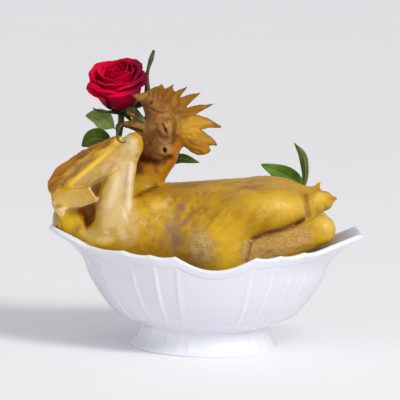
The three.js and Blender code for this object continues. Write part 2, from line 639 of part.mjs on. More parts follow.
const holeRadius = STEM_RADIUS + CONTACT_GAP;
const stemHole = stemSolid(STEM_PATH, holeRadius, holeRadius, 6, 6, CONTACT_GAP);
const bird = new THREE.Group();
bird.rotation.y = -radians(TIPPING);
bird.position.copy(vector(TIPPING_POINT)).sub(vector(TIPPING_POINT).applyEuler(bird.rotation));
bird.position.add(vector(SITTING_SHIFT));
bird.updateMatrix();
const chicken = chickenSolid(stemHole, bird.matrix.clone().invert());
const bloom = bloomSolid();
const roseStem = largestBody(roseStemSolid().subtract(bloomSolid(CONTACT_GAP)));

bird.add(piece("chicken", chicken, FLESH));
bird.add(piece("rose_bloom", bloom, ROSE_RED));
bird.add(piece("rose_stem", roseStem, STEM_GREEN));
bird.add(piece("twig_back", stemSolid(TWIG_PATH, TWIG_RADIUS, TWIG_RADIUS * 0.7), STEM_GREEN));
Object.entries(LEAVES).forEach(([name, leaf]) => bird.add(piece(name, leafSolid(leaf), LEAF_GREEN)));

const model = new THREE.Group();
model.add(piece("bowl", solidOf(skin(bowlRings())), PORCELAIN));
model.add(bird);

export default model;
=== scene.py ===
"""A boiled whole chicken with a rose in its beak, in a white lobed footed bowl."""

import math

import bpy
import numpy as np
import openvdb
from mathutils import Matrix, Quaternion, Vector


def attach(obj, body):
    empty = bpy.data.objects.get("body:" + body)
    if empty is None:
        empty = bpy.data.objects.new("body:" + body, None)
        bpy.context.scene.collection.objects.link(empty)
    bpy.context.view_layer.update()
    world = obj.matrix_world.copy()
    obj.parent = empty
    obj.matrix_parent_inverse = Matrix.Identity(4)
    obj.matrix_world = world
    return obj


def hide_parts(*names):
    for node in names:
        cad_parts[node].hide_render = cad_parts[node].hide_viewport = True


MM = 0.001

# The side chart: columns and rows of 1.05 mm on a side elevation seen from 8.3 degrees up.
CHART_UNIT = 1.05
CHART_COLUMN, CHART_ROW = 206.4, 345.2
CHART_RISE, CHART_LEAN = 0.9895, 0.1444

# The bird sits tipped up at the tail about a point in its middle.
TIPPING = math.radians(1.4)
TIPPING_POINT = np.array([-6.7, 0.0, 154.0])
SITTING_SHIFT = np.array([-1.2, 0.0, 0.0])

# The bowl: [height, radius] of the foot and [height, half length, half width] of the wall.
FOOT_HEIGHT = 24.0
FOOT_PROFILE = [
    [0, 76.2], [0.8, 77], [2.5, 77], [3.4, 75.4], [6, 72], [9.5, 69.2], [13, 67.5], [18, 66.4], [24, 66],
]
WALL_PROFILE = np.array([
    [24, 66, 66], [34, 90, 86], [49, 105, 99], [65, 116, 107], [80, 124, 112], [90, 127, 114.5],
    [97, 131, 116.5], [103, 137, 117.5], [109, 144.5, 118.5], [115, 153, 119.5], [119, 159.5, 120],
    [122, 164.5, 120.5], [130, 176, 121],
])
RIM_LOBES = np.array([
    [-13, 110.5, -14.3], [21, 110.5, -2], [31, 111.5, -2], [41.5, 113.5, -2], [52, 116, 6],
    [80, 124, -1.2], [93, 123, -1.2], [106, 123.5, -12], [136, 113, -2], [147, 111.5, -2], [158, 111, -2],
    [169, 111, 6], [191, 111, -2], [202, 111, -2], [213, 111.5, -2], [224, 113, -12],
    [254, 123.5, -1.2], [267, 123, -1.2], [280, 123, 8],
    [305, 113, -2], [325, 112.5, -2], [336.5, 110.5, -2],
])
WALL_THICKNESS = 5.0
PLAN_SQUARENESS = 2.3
RIB_RELIEF, RIB_WIDTH = 1.4, 1.7
BAND_RELIEF, BAND_START = 0.8, 0.885
RIM_START = 0.975
FOOT_RECESS, FOOT_RING_WIDTH = 19.0, 7.0
FLOOR_HEIGHT = 36.5
FLESH_GAP = 0.7

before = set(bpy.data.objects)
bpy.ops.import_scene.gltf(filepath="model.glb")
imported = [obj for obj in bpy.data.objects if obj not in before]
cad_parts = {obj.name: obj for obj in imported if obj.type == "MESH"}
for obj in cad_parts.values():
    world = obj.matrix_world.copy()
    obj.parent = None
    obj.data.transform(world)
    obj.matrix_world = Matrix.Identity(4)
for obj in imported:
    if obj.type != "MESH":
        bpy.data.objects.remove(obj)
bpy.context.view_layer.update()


# Camera, lights and floor.
CAMERA_RISE, CAMERA_ROLL = math.radians(8.3), math.radians(1.4)


def make_camera():
    target = Vector((-0.0079, 0.0, 0.1543))
    back = Vector((0.0, -math.cos(CAMERA_RISE), math.sin(CAMERA_RISE)))
    distance, view_width = 5.0, 0.42
    data = bpy.data.cameras.new("camera")
    data.lens = data.sensor_width * distance / view_width
    camera = bpy.data.objects.new("camera", data)
    camera.location = target + back * distance
    camera.rotation_mode = "QUATERNION"
    camera.rotation_quaternion = (-back).to_track_quat("-Z", "Y") @ Quaternion((0, 0, 1), CAMERA_ROLL)
    bpy.context.scene.collection.objects.link(camera)
    bpy.context.scene.camera = camera


def make_light(name, kind, towards, strength, colour):
    """A light that shines from the direction of a vector."""
    data = bpy.data.lights.new(name, kind)
    data.energy = strength
    data.color = colour
    light = bpy.data.objects.new(name, data)
    light.rotation_mode = "QUATERNION"
    light.rotation_quaternion = towards.to_track_quat("Z", "Y")
    bpy.context.scene.collection.objects.link(light)
    return light


def make_sun(name, azimuth, elevation, strength, colour, softness):
    a, e = math.radians(azimuth), math.radians(elevation)
    towards = Vector((math.sin(a) * math.cos(e), -math.cos(a) * math.cos(e), math.sin(e)))
    make_light(name, "SUN", towards, strength, colour).data.angle = math.radians(softness)


def make_panel(name, place, size, strength, colour):
    """A square light that shines at the bird."""
    panel = make_light(name, "AREA", Vector(place) - Vector((0, 0, 0.15)), strength, colour)
    panel.data.shape = "SQUARE"
    panel.data.size = size
    panel.location = place


def make_surroundings():
    world = bpy.data.worlds.new("world")
    bpy.context.scene.world = world
    world.use_nodes = True
    nodes, links = world.node_tree.nodes, world.node_tree.links
    background = nodes["Background"]
    background.inputs["Strength"].default_value = 0.58
    ramp = nodes.new("ShaderNodeValToRGB")
    ramp.color_ramp.elements[0].position = 0.35
    ramp.color_ramp.elements[0].color = (0.82, 0.84, 0.90, 1)
    ramp.color_ramp.elements[1].position = 0.9
    ramp.color_ramp.elements[1].color = (0.95, 0.95, 0.97, 1)
    split = nodes.new("ShaderNodeSeparateXYZ")
    where = nodes.new("ShaderNodeTexCoord")
    links.new(where.outputs["Generated"], split.inputs[0])
    links.new(split.outputs["Z"], ramp.inputs["Fac"])
    links.new(ramp.outputs["Color"], background.inputs["Color"])
    make_sun("key_light", 46, 34, 1.42, (1.0, 0.98, 0.95), 20)
    make_sun("front_fill", -44, 3, 0.55, (0.97, 0.98, 1.0), 50)
    make_panel("shine_panel", (0.9, -1.1, 1.5), 0.5, 7.0, (1.0, 0.98, 0.96))
    half = 40.0
    mesh = bpy.data.meshes.new("floor")
    corners = [(-half, -half, 0), (half, -half, 0), (half, half, 0), (-half, half, 0)]
    mesh.from_pydata(corners, [], [(0, 1, 2, 3)])
    floor = bpy.data.objects.new("floor", mesh)
    bpy.context.scene.collection.objects.link(floor)
    make = Shader("floor_paint", roughness=0.6, specular=0.3)
    tone = make.mix(make.noise(3.0, 3), (0.96, 0.96, 0.965), (0.97, 0.97, 0.97))
    make.to("Base Color", tone)
    mesh.materials.append(make.material)


# Materials. Sizes of patterns are in waves per metre, because objects are in metres.
class Shader:
    """A material built round one Principled shader."""

    def __init__(self, name, roughness=0.5, specular=0.5, **values):
        self.material = bpy.data.materials.new(name)
        self.material.use_nodes = True
        self.nodes, self.links = self.material.node_tree.nodes, self.material.node_tree.links
        self.shader = self.nodes["Principled BSDF"]
        self.shader.inputs["Roughness"].default_value = roughness
        self.shader.inputs["Specular IOR Level"].default_value = specular
        for key, value in values.items():
            self.shader.inputs[key.replace("_", " ")].default_value = value
        self.where = self.nodes.new("ShaderNodeTexCoord").outputs["Object"]

    def feed(self, socket, value):
        if isinstance(value, bpy.types.NodeSocket):
            self.links.new(value, socket)
        elif isinstance(value, tuple) and len(value) == 3 and len(socket.default_value) == 4:
            socket.default_value = (*value, 1)
        else:
            socket.default_value = value

    def to(self, name, value):
        self.feed(self.shader.inputs[name], value)

    def stretched(self, scale, turn=(0, 0, 0)):
        node = self.nodes.new("ShaderNodeMapping")
        node.inputs["Scale"].default_value = scale
        node.inputs["Rotation"].default_value = turn
        self.links.new(self.where, node.inputs["Vector"])
        return node.outputs[0]

    def noise(self, scale, detail=2, where=None, roughness=0.5):
        node = self.nodes.new("ShaderNodeTexNoise")
        node.inputs["Scale"].default_value = scale
        node.inputs["Detail"].default_value = detail
        node.inputs["Roughness"].default_value = roughness
        self.links.new(where or self.where, node.inputs["Vector"])
        return node.outputs["Fac"]

    def cells(self, scale, where=None):
        node = self.nodes.new("ShaderNodeTexVoronoi")
        node.inputs["Scale"].default_value = scale
        self.links.new(where or self.where, node.inputs["Vector"])
        return node.outputs["Distance"]

    def painted(self, name):
        node = self.nodes.new("ShaderNodeAttribute")
        node.attribute_name = name
        return node.outputs["Fac"]

    def math(self, operation, *values):
        node = self.nodes.new("ShaderNodeMath")
        node.operation = operation
        for socket, value in zip(node.inputs, values):
            self.feed(socket, value)
        return node.outputs[0]

    def ramp(self, value, low, high, start=0.0, end=1.0):
        node = self.nodes.new("ShaderNodeMapRange")
        node.interpolation_type = "SMOOTHSTEP"
        for key, number in zip(("From Min", "From Max", "To Min", "To Max"), (low, high, start, end)):
            node.inputs[key].default_value = number
        self.links.new(value, node.inputs["Value"])
        return node.outputs[0]

    def mix(self, share, first, second):
        node = self.nodes.new("ShaderNodeMix")
        node.data_type = "RGBA"
        self.feed(node.inputs[0], share)
        self.feed(node.inputs[6], first)
        self.feed(node.inputs[7], second)
        return node.outputs[2]

    def bump(self, height, distance, strength=1.0):
        node = self.nodes.new("ShaderNodeBump")
        node.inputs["Distance"].default_value = distance
        node.inputs["Strength"].default_value = strength
        self.links.new(height, node.inputs["Height"])
        return node.outputs[0]


# Numbers, noise and curves for points in millimetres.
def step(low, high, value):
    t = np.clip((value - low) / (high - low), 0, 1)
    return t * t * (3 - 2 * t)


def lattice(ix, iy, iz, seed):
    n = ix.astype(np.uint32) * np.uint32(374761393) + iy.astype(np.uint32) * np.uint32(668265263)
    n += iz.astype(np.uint32) * np.uint32(2246822519) + np.uint32(seed * 3266489917 % 4294967296)
    n = (n ^ (n >> np.uint32(13))) * np.uint32(1274126177)
    n = (n ^ (n >> np.uint32(15))) * np.uint32(2654435761)
    return (n ^ (n >> np.uint32(16))).astype(np.float32) / np.float32(4294967296.0)


def noise(points, size, seed=0):
    """Smooth noise from -1 to 1 in lumps about size across. Size is one number or one for each axis."""
    p = np.asarray(points, np.float32) / np.asarray(size, np.float32)
    cell = np.floor(p).astype(np.int64)
    f = p - cell
    f = f * f * (3 - 2 * f)
    total = np.zeros(len(p), np.float32)
    for corner in range(8):
        dx, dy, dz = corner & 1, (corner >> 1) & 1, corner >> 2
        wx = f[:, 0] if dx else 1 - f[:, 0]
        wy = f[:, 1] if dy else 1 - f[:, 1]
        wz = f[:, 2] if dz else 1 - f[:, 2]
        total += wx * wy * wz * lattice(cell[:, 0] + dx, cell[:, 1] + dy, cell[:, 2] + dz, seed)
    return 2 * total - 1


def rough(points, size, octaves=3, seed=0):
    total, weight = np.zeros(len(points), np.float32), 1.0
    for octave in range(octaves):
        total += weight * noise(points, np.asarray(size) / 2.03 ** octave, seed + octave)
        weight *= 0.55
    return total


def spots(points, size, seed=0, jitter=0.8):
    """Distance to the nearest and the second nearest of scattered points, about size apart."""
    p = np.asarray(points, np.float32) / np.float32(size)
    cell = np.floor(p).astype(np.int64)
    near, second = np.full(len(p), 9, np.float32), np.full(len(p), 9, np.float32)
    for dx in (-1, 0, 1):
        for dy in (-1, 0, 1):
            for dz in (-1, 0, 1):
                at = cell + (dx, dy, dz)
                square = np.zeros(len(p), np.float32)
                for axis in range(3):
                    shift = lattice(at[:, 0], at[:, 1], at[:, 2], seed + 11 * axis)
                    square += (at[:, axis] + 0.5 + jitter * (shift - 0.5) - p[:, axis]) ** 2
                distance = np.sqrt(square)
                second = np.minimum(second, np.maximum(near, distance))
                near = np.minimum(near, distance)
    return near * size, second * size


def along_stations(stations, position):
    """Catmull-Rom through rows [position, ...values], for an array of positions."""
    stations = np.asarray(stations, float)
    last = len(stations) - 1
    x = np.clip(position, stations[0, 0], stations[last, 0])
    i = np.clip(np.searchsorted(stations[:, 0], x, side="left") - 1, 0, last - 1)
    before, start = stations[np.maximum(i - 1, 0)], stations[i]
    to, after = stations[i + 1], stations[np.minimum(i + 2, last)]
    span = (to[..., :1] - start[..., :1])
    t = (np.asarray(x)[..., None] - start[..., :1]) / span
    slope_in = (to - before) / np.maximum(to[..., :1] - before[..., :1], 1e-9) * span
    slope_out = (after - start) / np.maximum(after[..., :1] - start[..., :1], 1e-9) * span
    value = start * (2 * t ** 3 - 3 * t ** 2 + 1) + slope_in * (t ** 3 - 2 * t ** 2 + t)
    value += to * (3 * t ** 2 - 2 * t ** 3) + slope_out * (t ** 3 - t ** 2)
    return [value[..., c] for c in range(1, stations.shape[1])]


def spline(points, count):
    """Count points along a smooth curve through points, evenly spaced, with their unit directions."""
    points = np.asarray(points, float)
    lengths = np.concatenate([[0], np.cumsum(np.linalg.norm(np.diff(points, axis=0), axis=1))])
    fine = np.linspace(0, lengths[-1], 40 * len(points))
    dense = np.stack(along_stations(np.column_stack([lengths, points]), fine), 1)
    run = np.concatenate([[0], np.cumsum(np.linalg.norm(np.diff(dense, axis=0), axis=1))])
    even = np.linspace(0, run[-1], count)
    places = np.stack([np.interp(even, run, dense[:, c]) for c in range(3)], 1)
    directions = np.gradient(places, axis=0)
    return places, directions / np.linalg.norm(directions, axis=1)[:, None]


def unit(vector):
    vector = np.asarray(vector, float)
    return vector / np.linalg.norm(vector, axis=-1, keepdims=True)


# Meshes.
def make_piece(name, points, faces, material, nodes, paint=None):
    """A mesh piece from points in millimetres of the row frame. Paint has a number a point for each name."""
    faces = np.asarray(faces, np.int32)
    mesh = bpy.data.meshes.new(name)
    mesh.vertices.add(len(points))
    mesh.vertices.foreach_set("co", (np.asarray(points, float) * MM).astype(np.float32).ravel())
    corners = faces.shape[1]
    mesh.loops.add(faces.size)
    mesh.loops.foreach_set("vertex_index", faces.ravel())
    mesh.polygons.add(len(faces))
    mesh.polygons.foreach_set("loop_start", np.arange(0, faces.size, corners, dtype=np.int32))
    mesh.polygons.foreach_set("use_smooth", np.ones(len(faces), bool))
    mesh.update(calc_edges=True)
    mesh.validate()
    add_paint(mesh, paint or {})
    mesh.materials.append(material)
    piece = bpy.data.objects.new(name, mesh)
    bpy.context.scene.collection.objects.link(piece)
    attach(piece, "root")
    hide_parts(*nodes)
    return piece


def add_paint(mesh, paint):
    for key, values in paint.items():
        attribute = mesh.attributes.new(key, "FLOAT", "POINT")
        attribute.data.foreach_set("value", np.asarray(values, np.float32).ravel())


def grid_faces(rows, columns, closed=False):
    """Faces over rows of columns points, numbered row by row, joined round each row if closed."""
    r, c = np.meshgrid(np.arange(rows - 1), np.arange(columns if closed else columns - 1), indexing="ij")
    d = (c + 1) % columns
    quads = [r * columns + c, r * columns + d, (r + 1) * columns + d, (r + 1) * columns + c]
    return np.stack(quads, -1).reshape(-1, 4)


def sheet(points, thickness):
    """A thin closed solid over a grid of points, with the rim joined. Returns its points and faces."""
    rows, columns = points.shape[:2]
    across, down = np.gradient(points, axis=1), np.gradient(points, axis=0)
    normal = np.cross(across, down)
    normal /= np.maximum(np.linalg.norm(normal, axis=-1, keepdims=True), 1e-9)
    half = normal * np.asarray(thickness)[..., None] / 2 if np.ndim(thickness) else normal * thickness / 2
    above, below = (points + half).reshape(-1, 3), (points - half).reshape(-1, 3)
    count = rows * columns
    top = grid_faces(rows, columns)
    loop = [r * columns for r in range(rows)] + [(rows - 1) * columns + c for c in range(1, columns)]
    loop += [r * columns + columns - 1 for r in range(rows - 2, -1, -1)] + list(range(columns - 2, 0, -1))
    loop = np.array(loop)
    ahead = np.roll(loop, -1)
    rim = np.stack([loop, ahead, ahead + count, loop + count], 1)
    return np.vstack([above, below]), np.vstack([top, top[:, ::-1] + count, rim])


def tube(path, radii, sides=14, count=40, normal=(0, 1, 0), flat=1.0):
    """A round or oval rod through a path, with radii spread evenly along it. Returns points and faces."""
    places, directions = spline(path, count)
    radius = np.interp(np.linspace(0, 1, count), np.linspace(0, 1, len(radii)), radii)
    side = unit(np.cross(directions, np.asarray(normal, float)))
    up = np.cross(side, directions)
    turn = np.linspace(0, 2 * math.pi, sides, endpoint=False)
    rings = places[:, None] + radius[:, None, None] * (
        side[:, None] * np.cos(turn)[None, :, None] + flat * up[:, None] * np.sin(turn)[None, :, None])
    rings[0] = places[0]
    rings[-1] = places[-1]
    return rings.reshape(-1, 3), grid_faces(count, sides, closed=True)


def joined(parts):
    """Several (points, faces, ...numbers a point) as one of the same form."""
    points, faces, first = [], [], 0
    for part in parts:
        points.append(part[0])
        faces.append(np.asarray(part[1]) + first)
        first += len(part[0])
    extra = [np.concatenate([part[n] for part in parts]) for n in range(2, len(parts[0]))]
    return (np.vstack(points), np.vstack(faces), *extra)


# The bowl.
def lobe_at(angle):
    turned = (np.asarray(angle, float) - RIM_LOBES[0, 0]) % 360 + RIM_LOBES[0, 0]
    n = np.clip(np.searchsorted(RIM_LOBES[:, 0], turned + 1e-9, side="right") - 1, 0, len(RIM_LOBES) - 1)
    starts = np.append(RIM_LOBES[:, 0], RIM_LOBES[0, 0] + 360)
    heights = np.append(RIM_LOBES[:, 1], RIM_LOBES[0, 1])
    share = (turned - starts[n]) / (starts[n + 1] - starts[n])
    bow = 4 * share * (1 - share)
    nearest = np.minimum(turned - starts[n], starts[n + 1] - turned)
    return heights[n] + (heights[n + 1] - heights[n]) * share + RIM_LOBES[n, 2] * bow, nearest


def wall_point(angle, share):
    """Turn, radius and height of the outer wall without ribs, at angles and shares of its height."""
    rim, _ = lobe_at(angle)
    z = FOOT_HEIGHT + (rim - FOOT_HEIGHT) * share
    along_x, along_y = along_stations(WALL_PROFILE, z)
    a = np.radians(angle)
    turn = np.arctan2(along_x * np.sin(a), along_y * np.cos(a))
    power = 2 + (PLAN_SQUARENESS - 2) * np.clip(share, 0, 1)
    plan = (np.abs(np.sin(turn)) / along_x) ** power + (np.abs(np.cos(turn)) / along_y) ** power
    return turn, plan ** (-1 / power), z


def wall_run(angle, share):
    """The wall's direction up its profile, as shares along the radius and the height."""
    _, below, z_below = wall_point(angle, share - 0.02)
    _, above, z_above = wall_point(angle, np.minimum(share + 0.02, 1.0))
    length = np.hypot(above - below, z_above - z_below)
    return (above - below) / length, (z_above - z_below) / length


def bowl_mesh(per_lobe=26):
    """The bowl's rings, from the middle of the hollow foot, up outside, over the rim and down inside.

    Returns points, faces, and how raised and how far inside each point is.
    """
    angles = np.concatenate([
        np.linspace(start, end, per_lobe, endpoint=False)
        for start, end in zip(RIM_LOBES[:, 0], np.append(RIM_LOBES[1:, 0], RIM_LOBES[0, 0] + 360))
    ])
    rim, nearest = lobe_at(angles)

    def ring(turn, r, z):
        z = np.broadcast_to(z, turn.shape)
        return np.stack([r * np.sin(turn), -r * np.cos(turn), z], 1)

    rings, raised = [], []
    plain = np.radians(angles)
    ring_radius = FOOT_PROFILE[0][1] - FOOT_RING_WIDTH
    under = [
        (0.5, FOOT_RECESS), (30, FOOT_RECESS), (50, FOOT_RECESS), (53, FOOT_RECESS - 1),
        (54.5, FOOT_RECESS - 4), (60, 9), (ring_radius - 1, 1.6), (ring_radius, 0),
    ]
    for r, z in under:
        rings.append(ring(plain, np.full(len(angles), float(r)), float(z)))
        raised.append(np.zeros(len(angles)))
    heights = np.concatenate([np.linspace(0, 4, 9), np.linspace(5, FOOT_HEIGHT - 0.4, 16)])
    flute = np.exp(-(nearest * 1.2 / 2.2) ** 2)
    for z in heights:
        radius = along_stations(FOOT_PROFILE, np.array([z]))[0][0]
        lift = 0.9 * flute * step(3, 7, z) * (1 - step(20, 24, z))
        rings.append(ring(plain, radius + lift, z))
        raised.append(flute * 0.5)
    rib = np.exp(-(nearest * 2.0 / RIB_WIDTH) ** 2)
    low, middle = np.linspace(0.004, 0.12, 10), np.linspace(0.14, 0.86, 46)
    high = np.linspace(0.865, RIM_START, 16)
    for share in np.concatenate([low, middle, high]):
        turn, r, z = wall_point(angles, share)
        run_r, run_z = wall_run(angles, share)
        height = RIB_RELIEF * math.sin(math.pi * min(share / 0.93, 1)) ** 0.5
        height *= 1 - step(0.87, 0.92, share)
        lift = height * rib + BAND_RELIEF * step(BAND_START, BAND_START + 0.03, share)
        rings.append(ring(turn, r + lift * run_z, z - lift * run_r))
        raised.append(rib * height / RIB_RELIEF)
    turn, r, z = wall_point(angles, RIM_START)
    run_r, run_z = wall_run(angles, np.full(len(angles), RIM_START))
    outer_r, outer_z = r + BAND_RELIEF * run_z, z - BAND_RELIEF * run_r
    half = (WALL_THICKNESS + BAND_RELIEF) / 2
    centre_r, centre_z = outer_r - half * run_z, outer_z + half * run_r
    for bend in np.radians(np.linspace(12, 168, 12)):
        push, lift = -math.cos(bend) * half, math.sin(bend) * half
        bent_r, bent_z = centre_r - push * run_z + lift * run_r, centre_z + push * run_r + lift * run_z
        rings.append(ring(turn, bent_r, bent_z))
        raised.append(np.full(len(angles), math.sin(bend)))
    first_inside = len(rings)
    for share in np.concatenate([np.linspace(0.97, 0.1, 60), [0.07, 0.04]]):
        turn, r, z = wall_point(angles, share)
        run_r, run_z = wall_run(angles, np.full(len(angles), share))
        rings.append(ring(turn, r - WALL_THICKNESS * run_z, z + WALL_THICKNESS * run_r))
        raised.append(np.zeros(len(angles)))
    last = rings[-1]
    for share in (0.8, 0.5, 0.2, 0.004):
        rings.append(last * (share, share, 1))
        raised.append(np.zeros(len(angles)))
    inside = np.repeat(step(0, 5, np.arange(len(rings)) - first_inside), len(angles))
    faces = grid_faces(len(rings), len(angles), closed=True)
    return np.vstack(rings), faces, np.concatenate(raised), inside


def inner_wall_table():
    """Inner radius of the bowl at every degree and millimetre of height, and the rim's height by degree."""
    angles = np.linspace(-180, 180, 721)
    turns = np.radians(np.arange(-180, 181, 1.0))
    heights = np.arange(28.0, 132.0, 1.0)
    table = np.zeros((len(turns), len(heights)))
    shares = np.linspace(0.03, 1.0, 90)
    grid_turn, grid_r, grid_z = [], [], []
    for share in shares:
        turn, r, z = wall_point(angles, share)
        run_r, run_z = wall_run(angles, np.full(len(angles), share))
        turn = np.unwrap(turn)
        turn += 2 * math.pi * np.round((0 - turn[len(turn) // 2]) / (2 * math.pi))
        grid_turn.append(turn)
        grid_r.append(r - WALL_THICKNESS * run_z)
        grid_z.append(z + WALL_THICKNESS * run_r)
    by_r = np.stack([np.interp(turns, grid_turn[n], grid_r[n]) for n in range(len(shares))])
    by_z = np.stack([np.interp(turns, grid_turn[n], grid_z[n]) for n in range(len(shares))])
    for n in range(len(turns)):
        table[n] = np.interp(heights, by_z[:, n], by_r[:, n])
    turn_of_rim, _, _ = wall_point(angles, 1.0)
    rim = np.interp(turns, np.unwrap(turn_of_rim), lobe_at(angles)[0])
    return table, rim


# Distances to simple forms in millimetres, negative inside.
def ellipsoid(centre, radii, tilt=0.0):
    cos, sin = math.cos(math.radians(tilt)), math.sin(math.radians(tilt))

    def distance(x, y, z):
        dx, dy, dz = x - centre[0], y - centre[1], z - centre[2]
        u, w = cos * dx + sin * dz, cos * dz - sin * dx
        near = np.sqrt((u / radii[0]) ** 2 + (dy / radii[1]) ** 2 + (w / radii[2]) ** 2)
        slope = np.sqrt((u / radii[0] ** 2) ** 2 + (dy / radii[1] ** 2) ** 2 + (w / radii[2] ** 2) ** 2)
        return near * (near - 1) / np.maximum(slope, 1e-6)

    return distance


def limb(stations, flat=1.0):
    stations = np.asarray(stations, float)

    def distance(x, y, z):
        least = None
        for start, end in zip(stations[:-1], stations[1:]):
            run = end[:3] - start[:3]
            px, py, pz = x - start[0], y - start[1], z - start[2]
            t = np.clip((px * run[0] + py * run[1] + pz * run[2]) / (run @ run), 0, 1)
            dx, dy, dz = px - run[0] * t, (py - run[1] * t) / flat, pz - run[2] * t
            d = (np.sqrt(dx * dx + dy * dy + dz * dz) - start[3] - (end[3] - start[3]) * t) * min(1, flat)
            least = d if least is None else np.minimum(least, d)
        return least

    return distance


def smooth_union(forms, blend):
    def distance(x, y, z):
        total = None
        for form in forms:
            d = form(x, y, z)
            if total is None:
                total = d
                continue
            share = np.maximum(blend - np.abs(total - d), 0) / blend
            total = np.minimum(total, d) - share * share * blend / 4
        return total

    return distance


def smooth_cut(form, cutter, blend):
    def distance(x, y, z):
        a, b = form(x, y, z), -cutter(x, y, z)
        share = np.maximum(blend - np.abs(a - b), 0) / blend
        return np.maximum(a, b) + share * share * blend / 4

    return distance


def both_sides(form):
    return lambda x, y, z: form(x, np.abs(y), z)


def within(form, low, high, margin=16.0, far=60.0):
    """The form, worked out only near its box."""
    def distance(x, y, z):
        near = np.ones(x.shape, bool)
        for value, least, most in zip((x, y, z), low, high):
            near &= (value > least - margin) & (value < most + margin)
        result = np.full(x.shape, far, np.float32)
        if near.any():
            result[near] = form(x[near], y[near], z[near])
        return result

    return distance


# The bird's forms, in its own frame before it is tipped. Sides are given for +Y.
TORSO = [
    ellipsoid([-106, 0, 130], [56, 54, 46]),
    ellipsoid([-40, 0, 115.5], [74, 66, 56.5]),
    ellipsoid([38, 0, 119], [74, 62, 58]),
    ellipsoid([80, 0, 142], [31, 36, 30]),
]
KEEL = ellipsoid([-28, 0, 86], [74, 34, 52])
SHOULDER = ellipsoid([-84, 42, 126], [42, 26, 34])
FLANK = ellipsoid([56, 40, 147], [47, 30, 26], 8)
KNEE = ellipsoid([10, 54, 104], [34, 26, 40])
DRUMSTICK = limb([[20, 58, 94, 24], [75, 62, 111, 19], [110, 60, 127, 14], [119, 58, 131.5, 15.5]])
TAIL = limb([[92, 0, 150, 20], [110, 0, 152, 16.5], [123, 0, 153.5, 10.5], [136, 0, 156, 1.4]], 1.4)
PREEN_GLAND = limb([[114, 0, 164, 4], [118.5, 0, 172, 1.6]])
NECK_BASE = limb([[-90, 0, 148, 34], [-76, 0, 165, 22], [-68, 0, 174, 20]])
NECK = limb([[-72, 0, 170, 20], [-62, 0, 182, 19.5], [-50, 0, 200, 18.5]])
SKULL = ellipsoid([-46, 0, 221], [21, 17, 23])
FACE = ellipsoid([-48.5, 0, 239], [10.5, 12.5, 26], 36)
CHEEK = ellipsoid([-62, 0, 213], [15, 14, 19])
UPPER_BEAK = limb([[-58, 0, 255, 7.5], [-69, 0, 262.5, 4], [-77.5, 0, 266.5, 1.8]])
LOWER_BEAK = limb([[-58, 0, 231, 8], [-74, 0, 233.5, 5.5], [-85, 0, 234.5, 3.5]])
TONGUE = limb([[-64, 0, 236, 3.5], [-74, 0, 242, 2.8], [-82, 0, 246.5, 2]])
EYE_RING = ellipsoid([-41.5, 15.0, 231], [8.5, 4.6, 9.5], -20)
EYE_LID = ellipsoid([-42.6, 17.5, 231.5], [4.6, 3.6, 5.6], -25)
EYE_SLIT = limb([[-45.6, 21.4, 236.4, 0.3], [-43.2, 22.0, 232.4, 0.9], [-41.2, 21.6, 229.0, 1.0]])
EAR_LOBE = ellipsoid([-43.5, 15, 208], [8, 4.6, 9])
EAR_HOLE = ellipsoid([-43.4, 20.2, 209.4], [1.9, 5.0, 3.0], -20)
NOSTRIL = ellipsoid([-57.0, 12.5, 257.5], [2.6, 3.0, 1.1], 50)
UPPER_ARM = limb([[-90, 46, 124, 28], [-95, 45, 157, 20.5], [-91, 43, 179, 17], [-82, 38, 204, 11]], 0.8)
ELBOW = ellipsoid([-77, 36, 217], [11, 11, 14], -20)
FOREARM = limb([[-80, 36, 213, 11.5], [-112, 40, 194, 12.5], [-140, 43, 176, 12.5]], 0.9)
WING_FLAP = limb([[-92, 34, 222, 5.5], [-124, 38, 205, 9], [-146, 40, 184, 14], [-151, 41, 175, 14]], 0.62)
WING_HOLLOW_OUTLINE = np.array([
    [-131, 162], [-110, 164], [-110, 150], [-116, 140], [-125, 132], [-128, 146],
])
HAND_OUTLINE = np.array([
    [-161, 168.5], [-155.8, 173.4], [-143, 174.5], [-130.6, 174], [-120, 176.5], [-119, 171.8],
    [-113, 163.8], [-114.3, 160.7], [-124.3, 157], [-133, 154.5], [-143, 154.3], [-146.5, 150],
    [-148, 145], [-152.5, 145.5], [-158, 151], [-160.5, 159],
])
FAR_WING_DROP = 14
FAR_LEG_DROP = 12
COMB_CENTRE = (-62, 232)
EYE_CENTRE, EAR_CENTRE = (-42.8, 231.5), (-43.4, 209.4)

# The comb's outline in millimetres of X and Z, from its front edge over its blades to the back of the head.
COMB_OUTLINE = np.array([
    [-65, 266], [-61, 270.5], [-56, 273.5], [-50, 275.5], [-46.5, 278], [-44.6, 275], [-43.6, 272.5],
    [-39, 274.8], [-34, 277.2], [-34.2, 273], [-33.5, 269.5], [-26, 272.6], [-18.5, 275.4], [-22, 269.5],
    [-27.8, 263.0], [-16, 266.6], [-3.4, 269.2], [-11, 261.5], [-21.2, 252.6], [-6, 255.6], [11, 256.4],
    [0.5, 251], [-10.8, 245], [4, 240.5], [18.7, 230.4], [6, 230.2], [-5.2, 229.0], [1.5, 224.5],
    [7, 220.6], [12.5, 211.6], [6.8, 212.2], [2.9, 211.4], [5.6, 207.0], [2.0, 203.6], [-3.5, 201.8],
    [-10, 202], [-16, 204.5], [-20, 208], [-25, 219], [-40, 224], [-54, 246],
])


def plate(outline, middle, half, edge):
    """A plate with an outline in X and Z, a middle and a half thickness that may vary, and round edges."""
    def distance(x, y, z):
        flat = outline_distance(outline, x, z)
        across = np.abs(y - middle(x, z)) - half(x, flat) + edge
        outward = flat + edge
        beyond = np.hypot(np.maximum(across, 0), np.maximum(outward, 0))
        return beyond + np.minimum(np.maximum(across, outward), 0) - edge

    return distance


